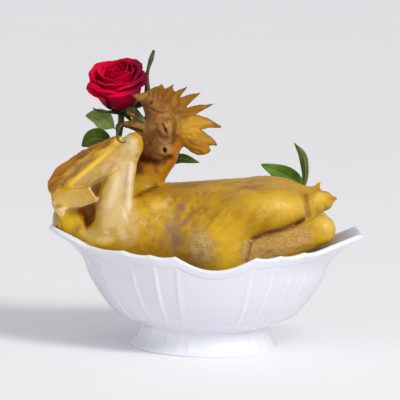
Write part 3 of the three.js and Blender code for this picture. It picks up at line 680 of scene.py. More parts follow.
def outline_distance(outline, x, z):
    """Distance in the plane to a closed outline, negative inside."""
    best, inside = np.full(x.shape, 1e9, np.float32), np.zeros(x.shape, bool)
    for (ax, az), (bx, bz) in zip(outline, np.roll(outline, -1, axis=0)):
        ex, ez = bx - ax, bz - az
        t = np.clip(((x - ax) * ex + (z - az) * ez) / (ex * ex + ez * ez), 0, 1)
        best = np.minimum(best, (x - ax - ex * t) ** 2 + (z - az - ez * t) ** 2)
        crosses = (az > z) != (bz > z)
        inside ^= crosses & (x < ex * (z - az) / (ez if ez else 1e-9) + ax)
    return np.where(inside, -1, 1) * np.sqrt(best)


def comb_bend(x, z):
    return 1.6 * np.sin((x + z) * 0.055) * step(-40, 10, x)


def flat_forearm(x, y, z):
    """The forearm, with its outer face cut flat so that a ridge runs along its top."""
    back = np.clip(-80 - x, -5, 66)
    face = (y - 36 - 0.1167 * back) * 0.975 - (z - 213 + 0.6167 * back) * 0.22 - 8.2
    round_form = FOREARM(x, y, z)
    share = np.maximum(2.2 - np.abs(round_form - face), 0) / 2.2
    return np.maximum(round_form, face) + share * share * 2.2 / 4


def hand_middle(x, z):
    return 51 + 0.1 * (x + 150)


def hand_thickness(x, flat):
    return np.clip(6.4 - 0.04 * (x + 160), 3.5, 7)


def make_chicken_form():
    """Distance to the bird's whole flesh. The far wing and leg are set lower than the near ones."""
    comb = plate(COMB_OUTLINE, comb_bend, lambda x, flat: np.clip(0.6 - 0.26 * flat, 0.4, 3.6), 0.5)
    hand = plate(HAND_OUTLINE, hand_middle, hand_thickness, 2.4)
    wing = smooth_union([UPPER_ARM, ELBOW], 7)
    wing = smooth_union([wing, flat_forearm], 3.5)
    wing = smooth_union([wing, WING_FLAP], 2.2)
    wing = smooth_union([wing, within(hand, [-163, 40, 143], [-111, 62, 178])], 2.5)
    near_wing = within(lambda x, y, z: wing(x, -y, z), [-172, -76, 90], [-50, -10, 236])
    far_wing = within(lambda x, y, z: wing(x, y, z + FAR_WING_DROP), [-172, 10, 76], [-50, 76, 222])
    torso = smooth_union([smooth_union(TORSO, 30), KEEL, both_sides(SHOULDER)], 18)
    torso = smooth_union([torso, NECK_BASE], 7)
    thigh = smooth_union([both_sides(FLANK), both_sides(KNEE)], 26)
    body = smooth_union([torso, thigh], 14)
    hollow = plate(WING_HOLLOW_OUTLINE, lambda x, z: 58.0, lambda x, flat: 24.0, 3)
    near_hollow = within(lambda x, y, z: hollow(x, -y, z), [-137, -82, 131], [-112, -34, 160])
    far_hollow = within(lambda x, y, z: hollow(x, y, z + FAR_WING_DROP), [-137, 34, 117], [-112, 82, 146])
    body = smooth_cut(body, near_hollow, 12)
    body = smooth_cut(body, far_hollow, 12)
    near_leg = within(lambda x, y, z: DRUMSTICK(x, -y, z), [-6, -84, 68], [137, -30, 150])
    far_leg = within(lambda x, y, z: DRUMSTICK(x + 3, y, z + FAR_LEG_DROP), [-9, 30, 56], [134, 84, 138])
    rump = within(smooth_union([TAIL, PREEN_GLAND], 4), [72, -30, 128], [138, 30, 176])
    head = smooth_union([SKULL, FACE, CHEEK, NECK], 12)
    head = smooth_union([head, UPPER_BEAK, LOWER_BEAK, TONGUE], 4)
    head = smooth_union([head, comb], 9)
    head = smooth_union([head, both_sides(EYE_RING), both_sides(EAR_LOBE), both_sides(EYE_LID)], 2.2)
    head = smooth_cut(head, both_sides(EYE_SLIT), 0.6)
    head = smooth_cut(head, both_sides(EAR_HOLE), 1.0)
    head = smooth_cut(head, both_sides(NOSTRIL), 0.8)
    head = within(head, [-98, -36, 146], [20, 36, 284])
    whole = smooth_union([body, near_leg, far_leg], 2.5)
    whole = smooth_union([whole, rump], 5)
    whole = smooth_union([whole, near_wing, far_wing], 4)
    return smooth_union([whole, head], 3)


def to_bird(points):
    """From the row frame to the bird's own frame."""
    p = points - TIPPING_POINT - SITTING_SHIFT
    cos, sin = math.cos(TIPPING), math.sin(TIPPING)
    x, z = cos * p[:, 0] + sin * p[:, 2], cos * p[:, 2] - sin * p[:, 0]
    return np.stack([x + TIPPING_POINT[0], p[:, 1], z + TIPPING_POINT[2]], 1)


def to_row(points):
    p = np.asarray(points, float) - TIPPING_POINT
    cos, sin = math.cos(TIPPING), math.sin(TIPPING)
    x, z = cos * p[..., 0] - sin * p[..., 2], sin * p[..., 0] + cos * p[..., 2]
    return np.stack([x, p[..., 1], z], -1) + TIPPING_POINT + SITTING_SHIFT


def make_flesh_distance():
    """Distance to the flesh where it lies inside the bowl, on its floor or above its rim."""
    form = make_chicken_form()
    table, rim = inner_wall_table()

    def distance(points):
        bird = to_bird(points).astype(np.float32)
        flesh = form(bird[:, 0], bird[:, 1], bird[:, 2])
        x, y, z = points[:, 0], points[:, 1], points[:, 2]
        r, turn = np.hypot(x, y), np.degrees(np.arctan2(x, -y)) + 180
        column = np.clip(turn, 0, 359.999)
        i = column.astype(int)
        f = column - i
        top = rim[i] * (1 - f) + rim[i + 1] * f
        row = np.clip(np.minimum(z, top) - 28, 0, table.shape[1] - 1.001)
        k = row.astype(int)
        g = row - k
        wall = (table[i, k] * (1 - f) + table[i + 1, k] * f) * (1 - g)
        wall += (table[i, k + 1] * (1 - f) + table[i + 1, k + 1] * f) * g
        inside = r - wall + FLESH_GAP
        over = top + FLESH_GAP - z
        contained = np.maximum(np.minimum(inside * 0.85, over), FLOOR_HEIGHT - z)
        blend = 3.0
        share = np.maximum(blend - np.abs(flesh - contained), 0) / blend
        return np.maximum(flesh, contained) + share * share * blend / 4

    return distance


def surface_of(distance, low, high, cell, block=8, chunk=400_000):
    """Points and four-sided faces of the surface where a distance is zero, worked out only near it."""
    low = np.asarray(low, float)
    counts = np.ceil((np.asarray(high) - low) / (cell * block)).astype(int)
    centres = np.stack(np.meshgrid(*[np.arange(n) for n in counts], indexing="ij"), -1).reshape(-1, 3)
    at_centre = distance(low + (centres + 0.5) * cell * block)
    reach = cell * block * 0.87 * 1.35 + 1.5
    values = np.clip(at_centre, -reach, reach).reshape(counts).astype(np.float32)
    for axis in range(3):
        values = np.repeat(values, block, axis)
    active = centres[np.abs(at_centre) < reach] * block
    offsets = np.stack(np.meshgrid(*[np.arange(block)] * 3, indexing="ij"), -1).reshape(-1, 3)
    per_turn = max(1, chunk // len(offsets))
    for first in range(0, len(active), per_turn):
        cells = (active[first:first + per_turn, None] + offsets[None]).reshape(-1, 3)
        values[cells[:, 0], cells[:, 1], cells[:, 2]] = distance(low + cells * cell)
    grid = openvdb.FloatGrid(float(reach))
    grid.copyFromArray(values)
    points, quads = grid.convertToQuads(0.0)
    return low + points.astype(float) * cell, quads


def point_normals(points, faces):
    """Normals at the points of four-sided faces."""
    a, b, c, d = (points[faces[:, n]] for n in range(4))
    face_normal = np.cross(c - a, d - b)
    total = np.zeros_like(points)
    for n in range(4):
        for axis in range(3):
            total[:, axis] += np.bincount(faces[:, n], face_normal[:, axis], len(points))
    return total / np.maximum(np.linalg.norm(total, axis=1, keepdims=True), 1e-9)


# Relief and paint of the skin. Side views are given on the chart, and count on both sides of the bird.
def chart_of(bird):
    column = CHART_COLUMN + bird[:, 0] / CHART_UNIT
    row = CHART_ROW - (CHART_RISE * bird[:, 2] - CHART_LEAN * np.abs(bird[:, 1])) / CHART_UNIT
    return column, row


def line_distance(column, row, path):
    """Distance in chart units to a line of points."""
    path = np.asarray(path, float)
    best = np.full(column.shape, 1e9)
    for a, b in zip(path[:-1], path[1:]):
        run = b - a
        t = np.clip(((column - a[0]) * run[0] + (row - a[1]) * run[1]) / (run @ run), 0, 1)
        best = np.minimum(best, np.hypot(column - a[0] - run[0] * t, row - a[1] - run[1] * t))
    return best


def stroke(column, row, path, width, softness=0.6):
    """1 on a line of points on the chart, fading out at its width and its ends."""
    d = line_distance(column, row, path)
    return 1 - step(width * (1 - softness), width * (1 + softness), d)


def patch(column, row, centre, radii, tilt=0.0, softness=0.5):
    cos, sin = math.cos(math.radians(tilt)), math.sin(math.radians(tilt))
    dx, dy = column - centre[0], row - centre[1]
    u, w = cos * dx - sin * dy, cos * dy + sin * dx
    q = np.sqrt((u / radii[0]) ** 2 + (w / radii[1]) ** 2)
    return 1 - step(1 - softness, 1 + softness, q)


# Creases: [path on the chart, width, depth in millimetres].
CREASES = [
    [[(304, 219), (294, 225), (280, 229.5), (263.5, 233.5), (255, 236), (249.5, 240.5), (247.5, 250),
      (244.5, 262)], 1.8, 2.4],
    [[(304.5, 195), (305.5, 206), (308, 216)], 3.0, 1.7],
    [[(138, 158), (144, 161.5), (152, 163.5), (162, 162.5), (171, 158)], 2.6, 2.4],
    [[(139, 195), (147, 191.5), (156, 186.5)], 3.0, 1.6],
    [[(125.5, 207), (127, 213), (130, 219)], 1.2, 1.5],
    [[(130, 163), (129, 176), (127.6, 190), (126.4, 204), (127.5, 214)], 2.4, 1.5],
    [[(123.5, 139.5), (126, 143.2), (130, 144.5)], 1.1, 1.6],
    [[(119, 168), (108, 176), (94, 186)], 1.6, 1.8],
    [[(124, 129), (133, 129), (142, 131)], 1.2, 1.6],
    [[(190, 224), (196, 238), (198, 254)], 4.0, 0.9],
    [[(150, 207), (148, 220), (152, 234)], 4.5, 1.0],
]


def along_streaks(bird):
    """Points with their first axis along the skin's slanting streaks."""
    along, across = 0.65 * bird[:, 0] + 0.76 * bird[:, 2], 0.76 * bird[:, 0] - 0.65 * bird[:, 2]
    return np.stack([along, bird[:, 1], across], 1)


def outside_head(bird):
    """How far a point lies outside the head's own outline in the side view, as on the comb."""
    x, z = bird[:, 0], bird[:, 2]
    return np.minimum(SKULL(x, 0 * x, z), FACE(x, 0 * x, z))


def head_share(bird):
    """1 on the head and comb, 0 on the body."""
    above = step(0, 8, bird[:, 2] - 180 - 0.35 * np.maximum(bird[:, 0] + 45, 0))
    return above * (1 - step(24, 29, np.abs(bird[:, 1]))) * (1 - step(22, 30, bird[:, 0]))


def skin_relief(bird, normal, column, row):
    """How far the skin stands out, in millimetres, at points of the bird."""
    side = step(0.12, 0.5, np.abs(normal[:, 1]))
    relief = 0.35 * rough(bird, 26, 2, 3) + 0.16 * rough(bird, (9, 6, 6), 2, 5)
    for path, width, depth in CREASES:
        d = line_distance(column, row, path)
        relief -= depth * np.exp(-(d / width) ** 2) * side
    head_area = head_share(bird)
    comb_depth = -outline_distance(COMB_OUTLINE, bird[:, 0], bird[:, 2])
    comb_area = head_area * step(-1, 3, comb_depth) * step(-6, 3, outside_head(bird))
    wing_strip = stroke(column, row, [(118, 137), (90, 151), (66, 170), (55, 187)], 7, 0.3)
    shank = stroke(column, row, [(252, 252), (275, 244), (297, 237)], 13, 0.3) * side
    # Feather pits as small domes.
    near, second = spots(bird, 3.8, 21)
    domes = np.exp(-(near / 1.05) ** 2)
    plump = (1 - head_area) * (1 - wing_strip) * (1 - shank)
    pimples = 0.2 + 0.8 * patch(column, row, (205, 236), (24, 34), 0, 0.4)
    pimples += 0.35 * patch(column, row, (270, 200), (46, 26), 0, 0.5)
    pimples *= 1 - patch(column, row, (120, 195), (32, 60), 20, 0.3) * side
    relief += 0.34 * domes * plump * np.clip(pimples, 0, 1)
    # Fine folds along the body, lumps on the wing's strip, and a net with lumps over the shank.
    relief += 0.3 * rough(along_streaks(bird), (13, 6, 3.2), 2, 31) * plump
    relief += wing_strip * (0.9 * rough(bird, (6, 4, 3.2), 3, 41) + 0.3 * np.exp(-(near / 1.1) ** 2))
    net = np.clip(second - near, 0, 1.4) / 1.4
    relief += shank * (0.35 * net + 0.4 * rough(bird, (6, 3, 3), 3, 51))
    arm = patch(column, row, (122, 188), (16, 34), 12, 0.4) * side
    sinews = (column + 0.28 * (row - 185)) * 2 * math.pi / 11 + 1.6 * noise(bird, 22, 55)
    relief += arm * 0.32 * np.sin(sinews)
    face = head_area * (1 - comb_area)
    relief += face * (0.45 * rough(bird, (3.8, 3.4, 3.8), 3, 61))
    stripes = 0.8 * column + 0.75 * row + 5 * noise(bird, 16, 62)
    wrinkled = patch(column, row, (196, 206), (22, 16), 30, 0.6) * side
    relief += 0.22 * np.sin(stripes * 2 * math.pi / 3.4) * wrinkled * (0.5 + 0.5 * noise(bird, 9, 64))
    out = np.hypot((bird[:, 0] - EYE_CENTRE[0]) * 1.05, (bird[:, 2] - EYE_CENTRE[1]) * 0.92)
    out = out + 4.0 * noise(bird, 9, 65)
    fold = np.exp(-((out - 8.2) / 1.5) ** 2) * 0.3 - np.exp(-((out - 11.5) / 1.5) ** 2) * 0.35
    relief += fold * side * step(190, 200, bird[:, 2]) * (0.7 + 0.5 * noise(bird, 7, 66))
    brow = face * patch(column, row, (160, 112), (16, 14), 30, 0.6)
    relief += 0.45 * brow * rough(bird, (6, 4, 4), 2, 67)
    blade = np.arctan2(bird[:, 2] - COMB_CENTRE[1], bird[:, 0] - COMB_CENTRE[0])
    ribs = np.sin(blade * 40 + 4 * noise(bird, 12, 71)) * step(2, 14, 22 - comb_depth)
    relief += comb_area * (0.45 * ribs + 0.45 * rough(bird, 7, 3, 73))
    ear = np.hypot(bird[:, 0] - EAR_CENTRE[0], (bird[:, 2] - EAR_CENTRE[1]) * 0.85)
    relief += 0.7 * np.exp(-((ear - 3.8) / 1.4) ** 2) * side * step(190, 200, bird[:, 2])
    return relief


# Paint of the skin. A mark is a line or an oval on the chart, with its strength and its texture.
def line(strength, path, width, softness=0.7, texture="plain", crisp=False):
    return lambda chart, textures: strength * textures[texture] * stroke(*chart[crisp], path, width, softness)


def spot(strength, centre, radii, tilt=0, softness=0.7, texture="plain", crisp=False):
    return lambda chart, textures: (
        strength * textures[texture] * patch(*chart[crisp], centre, radii, tilt, softness))


WING_STRIP = [(118, 136), (90, 150), (64, 168), (52, 188)]
WING_RIDGE = [(124, 139), (106, 155), (88, 171), (73, 184)]
BODY_MARKS = {
    # Partly the skin's own yellow, mostly painted highlights on the lit wing ridge, thigh, belly, hock knob,
    # tail and upper arm, and painted light on the shaded breast.
    "yellow_and_highlight": [
        line(1.0, WING_RIDGE, 3.0, 0.6, crisp=True),
        spot(0.95, (224, 246), (20, 24), 10, 0.6),
        spot(0.95, (278, 208), (32, 16), -12, 0.6),
        spot(0.9, (325, 229), (14, 15), 0, 0.5),
        spot(0.75, (64, 222), (8, 15), 0, 0.6),
        spot(0.8, (322, 203), (13, 12), 0, 0.6),
        spot(0.8, (158, 205), (8, 7)),
        spot(0.7, (90, 243), (13, 7), 20),
        spot(0.5, (108, 196), (5, 12), 15, 0.8),
        spot(0.6, (145, 216), (7, 10), 0, 0.8, "blotches"),
        spot(0.5, (240, 192), (34, 7), -3, 0.7, "blotches"),
    ],
    "brown": [
        line(0.9, WING_STRIP, 5.8, 0.4, "soft_wing_streaks"),
        line(0.7, [(116, 142), (96, 153), (78, 169), (66, 183)], 1.6),
        spot(0.7, (194, 204), (36, 21), -20, 0.6, "streaks"),
        spot(0.7, (214, 187), (56, 10), 0, 0.6, "lengthways"),
        spot(0.5, (190, 200), (40, 22), -15, 0.7, "flecks"),
        spot(0.6, (187, 236), (8, 22), 15, 0.7, "blotches"),
        spot(0.5, (313, 196), (7, 6), 0, 0.8, "blotches"),
        spot(0.55, (62, 205.5), (5, 4), 0, 0.7),
        # Painted shade: darker along the upper arm's left edge.
        line(0.35, [(105, 178), (102, 194), (98, 208)], 3),
        spot(0.45, (250, 214), (34, 14), -25, 0.7, "streaks"),
        # Painted shade: darker along the drumstick's top, under the flank's overhang.
        line(0.4, [(258, 238), (280, 232), (300, 224)], 3),
        spot(0.45, (148, 240), (16, 12), 0, 0.7, "blotches"),
        line(0.6, [(252, 254), (275, 246), (296, 239)], 11, 0.4, "soft_blotches"),
        spot(0.5, (163, 192), (16, 5), -15, 0.8),
    ],
    "beige": [
        line(0.85, [(124, 156), (106, 169), (86, 184)], 9, 0.4),
        spot(0.75, (74, 199), (22, 9), 6, 0.4, "soft_blotches"),
        line(0.85, [(250, 252), (275, 243), (298, 235)], 12, 0.4),
        spot(0.85, (201, 245), (13, 18), 15, 0.6),
        spot(0.6, (166, 226), (14, 16), 0, 0.8, "blotches"),
        spot(0.55, (326, 226), (12, 10)),
        spot(0.3, (318, 203), (11, 9), 0, 0.7, "flecks"),
        spot(0.35, (278, 207), (24, 12), -12),
        spot(0.5, (215, 196), (38, 12), -10, 0.7, "streaks"),
        line(0.55, [(90, 156), (70, 172), (60, 190)], 3.5, 0.7, "blotches"),
    ],
    "cream": [
        line(0.18, [(126, 154), (106, 168), (84, 185)], 8, 0.5),
        line(0.95, [(126, 168), (118, 186), (111, 206)], 9, 0.5),
        spot(0.9, (117, 214), (18, 14), 0, 0.5),
        spot(0.8, (102, 234), (17, 9), 0, 0.6, "soft_blotches"),
        spot(0.6, (126, 230), (12, 13), 0, 0.6, "soft_blotches"),
        spot(0.4, (147, 228), (9, 11), 0, 0.7, "blotches"),
        spot(0.2, (76, 198), (20, 9), 6, 0.4),
        spot(0.85, (131, 147), (9, 13), 0, 0.5),
        spot(0.5, (202, 246), (10, 13), 15, 0.7, "soft_flecks"),
        spot(0.45, (161, 206), (11, 10), 0, 0.8, "blotches"),
        spot(0.5, (238, 178), (34, 3.5), -3, 0.6, "blotches"),
        spot(0.25, (318, 204), (12, 8), 0, 0.6, "blotches"),
    ],
    # Painted highlights in a light yellow: along the lit wing ridge and on the lit tops of the breast,
    # shoulder, belly, hock knob and tail.
    "ridge": [
        line(0.9, WING_RIDGE, 1.9, crisp=True),
        spot(0.6, (110, 150), (12, 4), 42, 0.6),
        spot(0.6, (66, 220), (13, 20), 0, 0.6),
        spot(0.5, (322, 222), (12, 6)),
        spot(0.6, (322, 196), (12, 5)),
        spot(0.45, (88, 240), (14, 7), 20),
        spot(0.2, (158, 205), (8, 7)),
        spot(0.35, (285, 206), (22, 8), -12, 0.8),
    ],
    # Mostly painted highlights along lit edges: the upper arm's right edge and left strip, the elbow's top,
    # and the wing tip's lower edge and point; some pale skin besides.
    "pale": [
        line(0.75, [(131.8, 164), (131.2, 182), (129.5, 204), (127, 214)], 2.8, 0.9, crisp=True),
        line(0.5, [(119, 180), (112, 204)], 3.4, 0.8, crisp=True),
        spot(0.35, (116, 231), (12, 9), 0, 0.8, "blotches"),
        spot(0.35, (133, 141), (6, 7), 0, 0.8),
        spot(0.4, (106, 239), (8, 4), 0, 0.8),
        line(0.75, [(98.5, 199.5), (96.5, 203), (88, 205.6), (79.5, 207.8), (62, 208.4)], 1.2, crisp=True),
        line(0.75, [(91.5, 187.5), (93.2, 190.5), (99, 198.8)], 1.2, crisp=True),
        line(0.75, [(55.5, 203), (56.5, 210), (61, 215), (65, 217)], 1.1, crisp=True),
        line(0.7, [(60.2, 209), (64, 210.5), (66, 213), (64.5, 216)], 0.9, crisp=True),
        line(0.2, [(120, 158), (104, 170)], 4, 0.8),
    ],
    # Painted light: bright yellow on the breast's left side, which lies in the wing's shadow.
    "painted_light": [
        spot(1.0, (69, 221), (9, 14), 0, 0.6, "inner"),
        spot(0.7, (84, 240), (14, 7), 25, 0.7, "inner"),
        spot(0.5, (100, 243), (14, 6), 15, 0.8, "soft_blotches"),
    ],
    # Painted shade: a grey-pink line down the groove of the upper arm.
    "groove_shade": [
        line(0.85, [(128.4, 165), (127.4, 174), (126.2, 186)], 2.2, 0.9, crisp=True),
        line(0.4, [(126.2, 186), (124, 204)], 2.6, 0.9, crisp=True),
    ],
    "mauve": [
        spot(0.95, (172, 240), (8, 18), 12, 0.7, "soft_blotches"),
        line(0.65, [(100, 151), (82, 165), (66, 181)], 2.8, 0.7, "wing_streaks"),
        spot(0.75, (180, 220), (12, 16), -25, 0.8, "streaks"),
        line(0.7, [(185, 207), (177, 226), (169, 251)], 5, 0.7, "soft_blotches"),
        spot(0.6, (160, 240), (8, 10), 0, 0.8, "blotches"),
        spot(0.5, (212, 252), (8, 12), 0, 0.8, "flecks"),
        spot(0.45, (200, 254), (9, 8), 0, 0.8, "flecks"),
        spot(0.3, (268, 250), (24, 8), -15, 0.7, "flecks"),
        spot(0.55, (56, 221), (4, 12), 0, 0.7),
    ],
    "rust": [line(0.85, WING_STRIP, 5.8, 0.4, "wing_bands"), spot(0.45, (60, 206), (4, 3), 0, 0.7)],
    "orange": [
        line(0.6, [(116, 132), (88, 146), (61, 164), (49, 186)], 3.5, 0.6),
        spot(0.7, (333, 197), (8, 5)),
        spot(0.45, (315, 186), (5, 4)),
        # Painted shade: a warm brown in the hollow behind the wing tip.
        spot(0.8, (90, 213), (9, 14), 30, 0.3, "inner", crisp=True),
        line(0.4, [(60, 218), (66, 233), (76, 240)], 2.2),
    ],
    # Painted shade in creases and hollows: between the arm and the neck, behind the wing tip, in the notch
    # before the tail and under the flank.
    "dark": [
        line(0.7, [(137, 196), (145, 192.5), (157, 186)], 2.4, 0.8, crisp=True),
        spot(0.35, (89, 213), (9, 14), 30, 0.3, "inner", crisp=True),
        line(0.5, [(305, 196), (306, 206), (308.5, 216)], 2.6, 0.9, crisp=True),
        line(1.0, [(303, 219.5), (294, 225), (280, 229.5), (263.5, 233.5), (252, 238)], 1.6, 0.7, crisp=True),
        line(0.35, [(249, 242), (248, 250), (246, 262)], 2.4, 0.8, crisp=True),
    ],
    "goose": [
        line(1.0, [(250, 252), (275, 244), (298, 236)], 13, 0.4),
        spot(1.0, (200, 246), (14, 20), 15, 0.5),
        spot(0.5, (275, 215), (24, 9), -15),
        spot(0.35, (225, 240), (16, 22)),
        spot(0.4, (131, 146), (9, 12), 0, 0.6),
    ],
}
# Paints that also show where the skin faces up or down.
ALL_ROUND = ("brown", "rust", "orange")
HEAD_MARKS = {
    "neck": [spot(1.0, (163, 172), (19, 12), -30, 0.5)],
    "rust": [spot(0.55, (152, 140), (14, 14), 0, 0.9, "blotches"), spot(0.6, (156, 115), (9, 8), 0, 0.8)],
    "orange": [
        line(0.9, [(180, 146), (177, 158), (171, 171)], 6, 0.6),
        spot(0.5, (150, 170), (16, 10), 0, 0.7, "blotches"),
    ],
    "lids": [
        spot(0.85, (164.3, 127.6), (4.6, 7.4), 22, 0.5, crisp=True),
        line(0.6, [(169, 122), (170.8, 129), (170, 135)], 1.6, crisp=True),
        line(0.4, [(158, 137.5), (164, 139.5), (170, 138)], 2.0),
        line(0.45, [(156, 121), (160, 117.5), (168, 118)], 2.0),
        spot(0.7, (166, 149), (6.5, 6), 0, 0.6, crisp=True),
        spot(0.6, (139, 97), (9, 4), 30, 0.6, crisp=True),
        spot(0.6, (140, 128), (12, 5), 30),
    ],
    # Painted shade: the band under the cheek's overhang, the mouth's crease, wrinkles round the eye, beak and
    # neck, the eye's slit, the nostril and the ear hole.
    "dark": [
        line(0.95, [(138, 157), (146, 160.5), (156, 161)], 6),
        line(0.7, [(156, 161), (165, 159.5), (172, 156)], 3.5, 0.8),
        line(0.6, [(137, 165), (140, 178), (139, 190)], 5, 0.8),
        line(0.8, [(123, 129), (133, 128.6), (142, 131)], 1.6, 0.5, crisp=True),
        line(1.0, [(162.8, 123.6), (164.8, 127.6), (167.2, 132.6)], 1.1, 0.5, crisp=True),
        spot(1.0, (165.9, 129.8), (1.8, 3.4), 25, 0.4, crisp=True),
        line(0.3, [(157.5, 131), (161, 137)], 1.6, crisp=True),
        line(0.35, [(160, 141.5), (167, 142), (172.5, 138)], 1.4),
        line(0.5, [(146, 106), (152, 112), (160, 115.5)], 1.8),
        line(0.4, [(173, 122), (175.5, 130), (174, 137)], 1.6),
        line(0.35, [(146, 124), (150, 132), (149, 142)], 2.2, 0.8),
        line(0.4, [(152, 150), (158, 154), (170, 152)], 1.8, 0.8),
        spot(1.0, (165, 150), (1.9, 3.0), 20, 0.4, crisp=True),
        spot(0.9, (151.6, 103), (2.4, 1.4), 60, 0.5, crisp=True),
        line(0.5, [(157, 166), (158.5, 176)], 2, 0.8),
    ],
}
COMB_MARKS = {
    "golden": [
        spot(0.95, (194, 128), (18, 13), 35),
        spot(0.7, (207, 104), (12, 4), -10),
        spot(0.5, (180, 104), (14, 9), 0, 0.8, "radial"),
        spot(0.7, (203, 143), (13, 10)),
    ],
    "rust": [
        spot(0.85, (164, 104), (15, 15), 0, 0.8),
        spot(0.6, (218, 126), (9, 5)),
        spot(0.75, (190, 116), (60, 60), 0, 0.3, "radial"),
    ],
    "orange": [spot(0.3, (205, 146), (12, 10), 0, 0.8)],
}


def skin_textures(bird):
    """Patterns of the skin, from 0 to 1: lumps, and streaks along the back, the body and the wing."""
    x, y, z = bird.T
    wing_run = np.stack([0.851 * x + 0.525 * z, y, 0.851 * z - 0.525 * x], 1)
    textures = {
        "plain": 1.0,
        "blotches": step(-0.6, 0.7, rough(bird, 8, 2, 91)),
        "flecks": step(-0.45, 0.75, rough(bird, 4.2, 2, 93)),
        "streaks": step(-0.25, 0.75, rough(along_streaks(bird), (20, 9, 3.4), 3, 95)),
        "lengthways": step(-0.3, 0.7, rough(bird, (24, 8, 3.2), 2, 97)),
        "wing_streaks": step(-0.3, 0.6, rough(wing_run, (22, 8, 3.4), 3, 113)),
        "wing_bands": step(-0.1, 0.7, rough(wing_run, (30, 9, 4.2), 2, 115)),
        "inner": 1 - step(46, 54, np.abs(bird[:, 1])),
    }
    for name in ("blotches", "flecks", "wing_streaks"):
        textures["soft_" + name] = 0.4 + 0.6 * textures[name]
    turn = np.arctan2(bird[:, 2] - COMB_CENTRE[1], bird[:, 0] - COMB_CENTRE[0])
    rays = np.sin(turn * 34 + 5 * noise(bird, 11, 105)) + 0.8 * noise(bird, 4, 107)
    textures["radial"] = step(-0.4, 0.9, rays)
    return textures


def skin_paint(bird, normal, column, row):
    """Shares of each colour of skin, painted light and painted shade among them, at points of the bird."""
    side = step(0.05, 0.4, np.abs(normal[:, 1]))
    # Crisp marks lie on the plain chart, the others on one that is bent a little.
    chart = {
        True: (column, row),
        False: (column + 4.2 * noise(bird, 19, 81) + 2.2 * noise(bird, 7.5, 82),
                row + 4.2 * noise(bird, 19, 85) + 2.2 * noise(bird, 7.5, 86)),
    }
    textures = skin_textures(bird)
    head = head_share(bird)
    comb_depth = -outline_distance(COMB_OUTLINE, bird[:, 0], bird[:, 2])
    comb = head * step(-0.5, 3.5, comb_depth) * step(-7, 7, outside_head(bird) + 4 * noise(bird, 6, 103))
    masks = {"head": head, "comb": comb}
    for table, area in ((BODY_MARKS, 1 - head), (HEAD_MARKS, head), (COMB_MARKS, comb)):
        for name, marks in table.items():
            share = area * np.maximum.reduce([mark(chart, textures) for mark in marks])
            if table is BODY_MARKS and name not in ALL_ROUND:
                share = share * side
            masks[name] = np.maximum(masks.get(name, 0), share)
    masks["face"] = head * (1 - comb) * (1 - masks["neck"])
    comb_edge = comb * (1 - step(0.6, 3.0, comb_depth))
    masks["rust"] = np.maximum(masks["rust"] * (1 - masks["golden"]), comb_edge)
    masks["lids"] = np.maximum(masks["lids"], 0.2 * masks["face"] * textures["flecks"])
    return masks


# Colours of the skin, each laid over those before it where its paint is. Some stand for light and shade
# rather than the skin's own colour: the light yellows and the pale cream are mostly painted highlights and
# painted light, and the grey-pink and the near-black are painted shade.
SKIN_COLOURS = {
    "yellow_and_highlight": (0.66, 0.395, 0.014), "brown": (0.29, 0.12, 0.008), "beige": (0.54, 0.33, 0.090),
    "cream": (0.70, 0.50, 0.21), "ridge": (0.82, 0.54, 0.080), "pale": (0.80, 0.67, 0.44),
    "painted_light": (0.97, 0.60, 0.012), "groove_shade": (0.50, 0.37, 0.28), "mauve": (0.235, 0.125, 0.080),
    "face": (0.17, 0.065, 0.012), "comb": (0.262, 0.102, 0.006), "golden": (0.58, 0.31, 0.022),
    "neck": (0.42, 0.185, 0.008), "rust": (0.20, 0.070, 0.008), "orange": (0.42, 0.14, 0.006),
    "lids": (0.50, 0.27, 0.075), "dark": (0.075, 0.010, 0.001),
}


def make_skin_material():
    make = Shader(
        "skin", specular=0.14, Subsurface_Weight=0.15, Subsurface_Radius=(1.0, 0.5, 0.12),
        Subsurface_Scale=0.003, Coat_Weight=0.10, Coat_Roughness=0.14)
    broad, middle, fine = make.noise(34, 3), make.noise(130, 3), make.noise(260, 2)
    tone = make.mix(make.ramp(broad, 0.3, 0.7), (0.56, 0.315, 0.008), (0.45, 0.235, 0.009))
    tone = make.mix(make.ramp(middle, 0.45, 0.75, 0.0, 0.4), tone, (0.60, 0.38, 0.045))
    tone = make.mix(make.ramp(make.noise(90, 3), 0.5, 0.75, 0.0, 0.4), tone, (0.33, 0.145, 0.008))

    def layer(below, name, colour, spread=0.14):
        share = make.math("ADD", make.painted(name), make.ramp(fine, 0.3, 0.7, -spread / 2, spread / 2))
        gate = make.ramp(make.painted(name), 0.02, 0.2)
        share = make.math("MULTIPLY", share, gate)
        clamped = make.math("MINIMUM", make.math("MAXIMUM", share, 0.0), 1.0)
        return make.mix(clamped, below, colour)

    for name, colour in SKIN_COLOURS.items():
        tone = layer(tone, name, colour)
    cells = make.cells(410, make.stretched((0.8, 1, 1.35), (0, 0.5, 0)))
    goose = make.painted("goose")
    uneven = make.math("MULTIPLY", goose, make.ramp(make.noise(170, 3), 0.35, 0.65))
    net = make.math("MULTIPLY", make.ramp(cells, 0.30, 0.65, 0, 0.55), uneven)
    dots = make.math("MULTIPLY", make.ramp(cells, 0.42, 0.05, 0, 0.4), uneven)
    tone = make.mix(net, tone, (0.30, 0.14, 0.03))
    tone = make.mix(dots, tone, (0.74, 0.52, 0.24))
    make.to("Base Color", tone)
    make.to("Coat Weight", make.ramp(make.painted("head"), 0.1, 0.8, 0.10, 0.03))
    make.to("Roughness", make.ramp(make.noise(120, 3), 0.3, 0.7, 0.30, 0.5))
    pores = make.math("MULTIPLY", make.noise(330, 4, roughness=0.65), 0.7)
    grain = make.math("MULTIPLY", make.noise(900, 3), 0.3)
    height = make.math("ADD", make.math("ADD", pores, grain), make.math("MULTIPLY", dots, 0.8))
    make.to("Normal", make.bump(height, 0.0009, 0.5))
    return make.material


SKIN_LOW, SKIN_HIGH = [-174, -90, 32], [142, 90, 284]
SKIN_CELL = 1.15
SKIN_TRIANGLES = 190_000


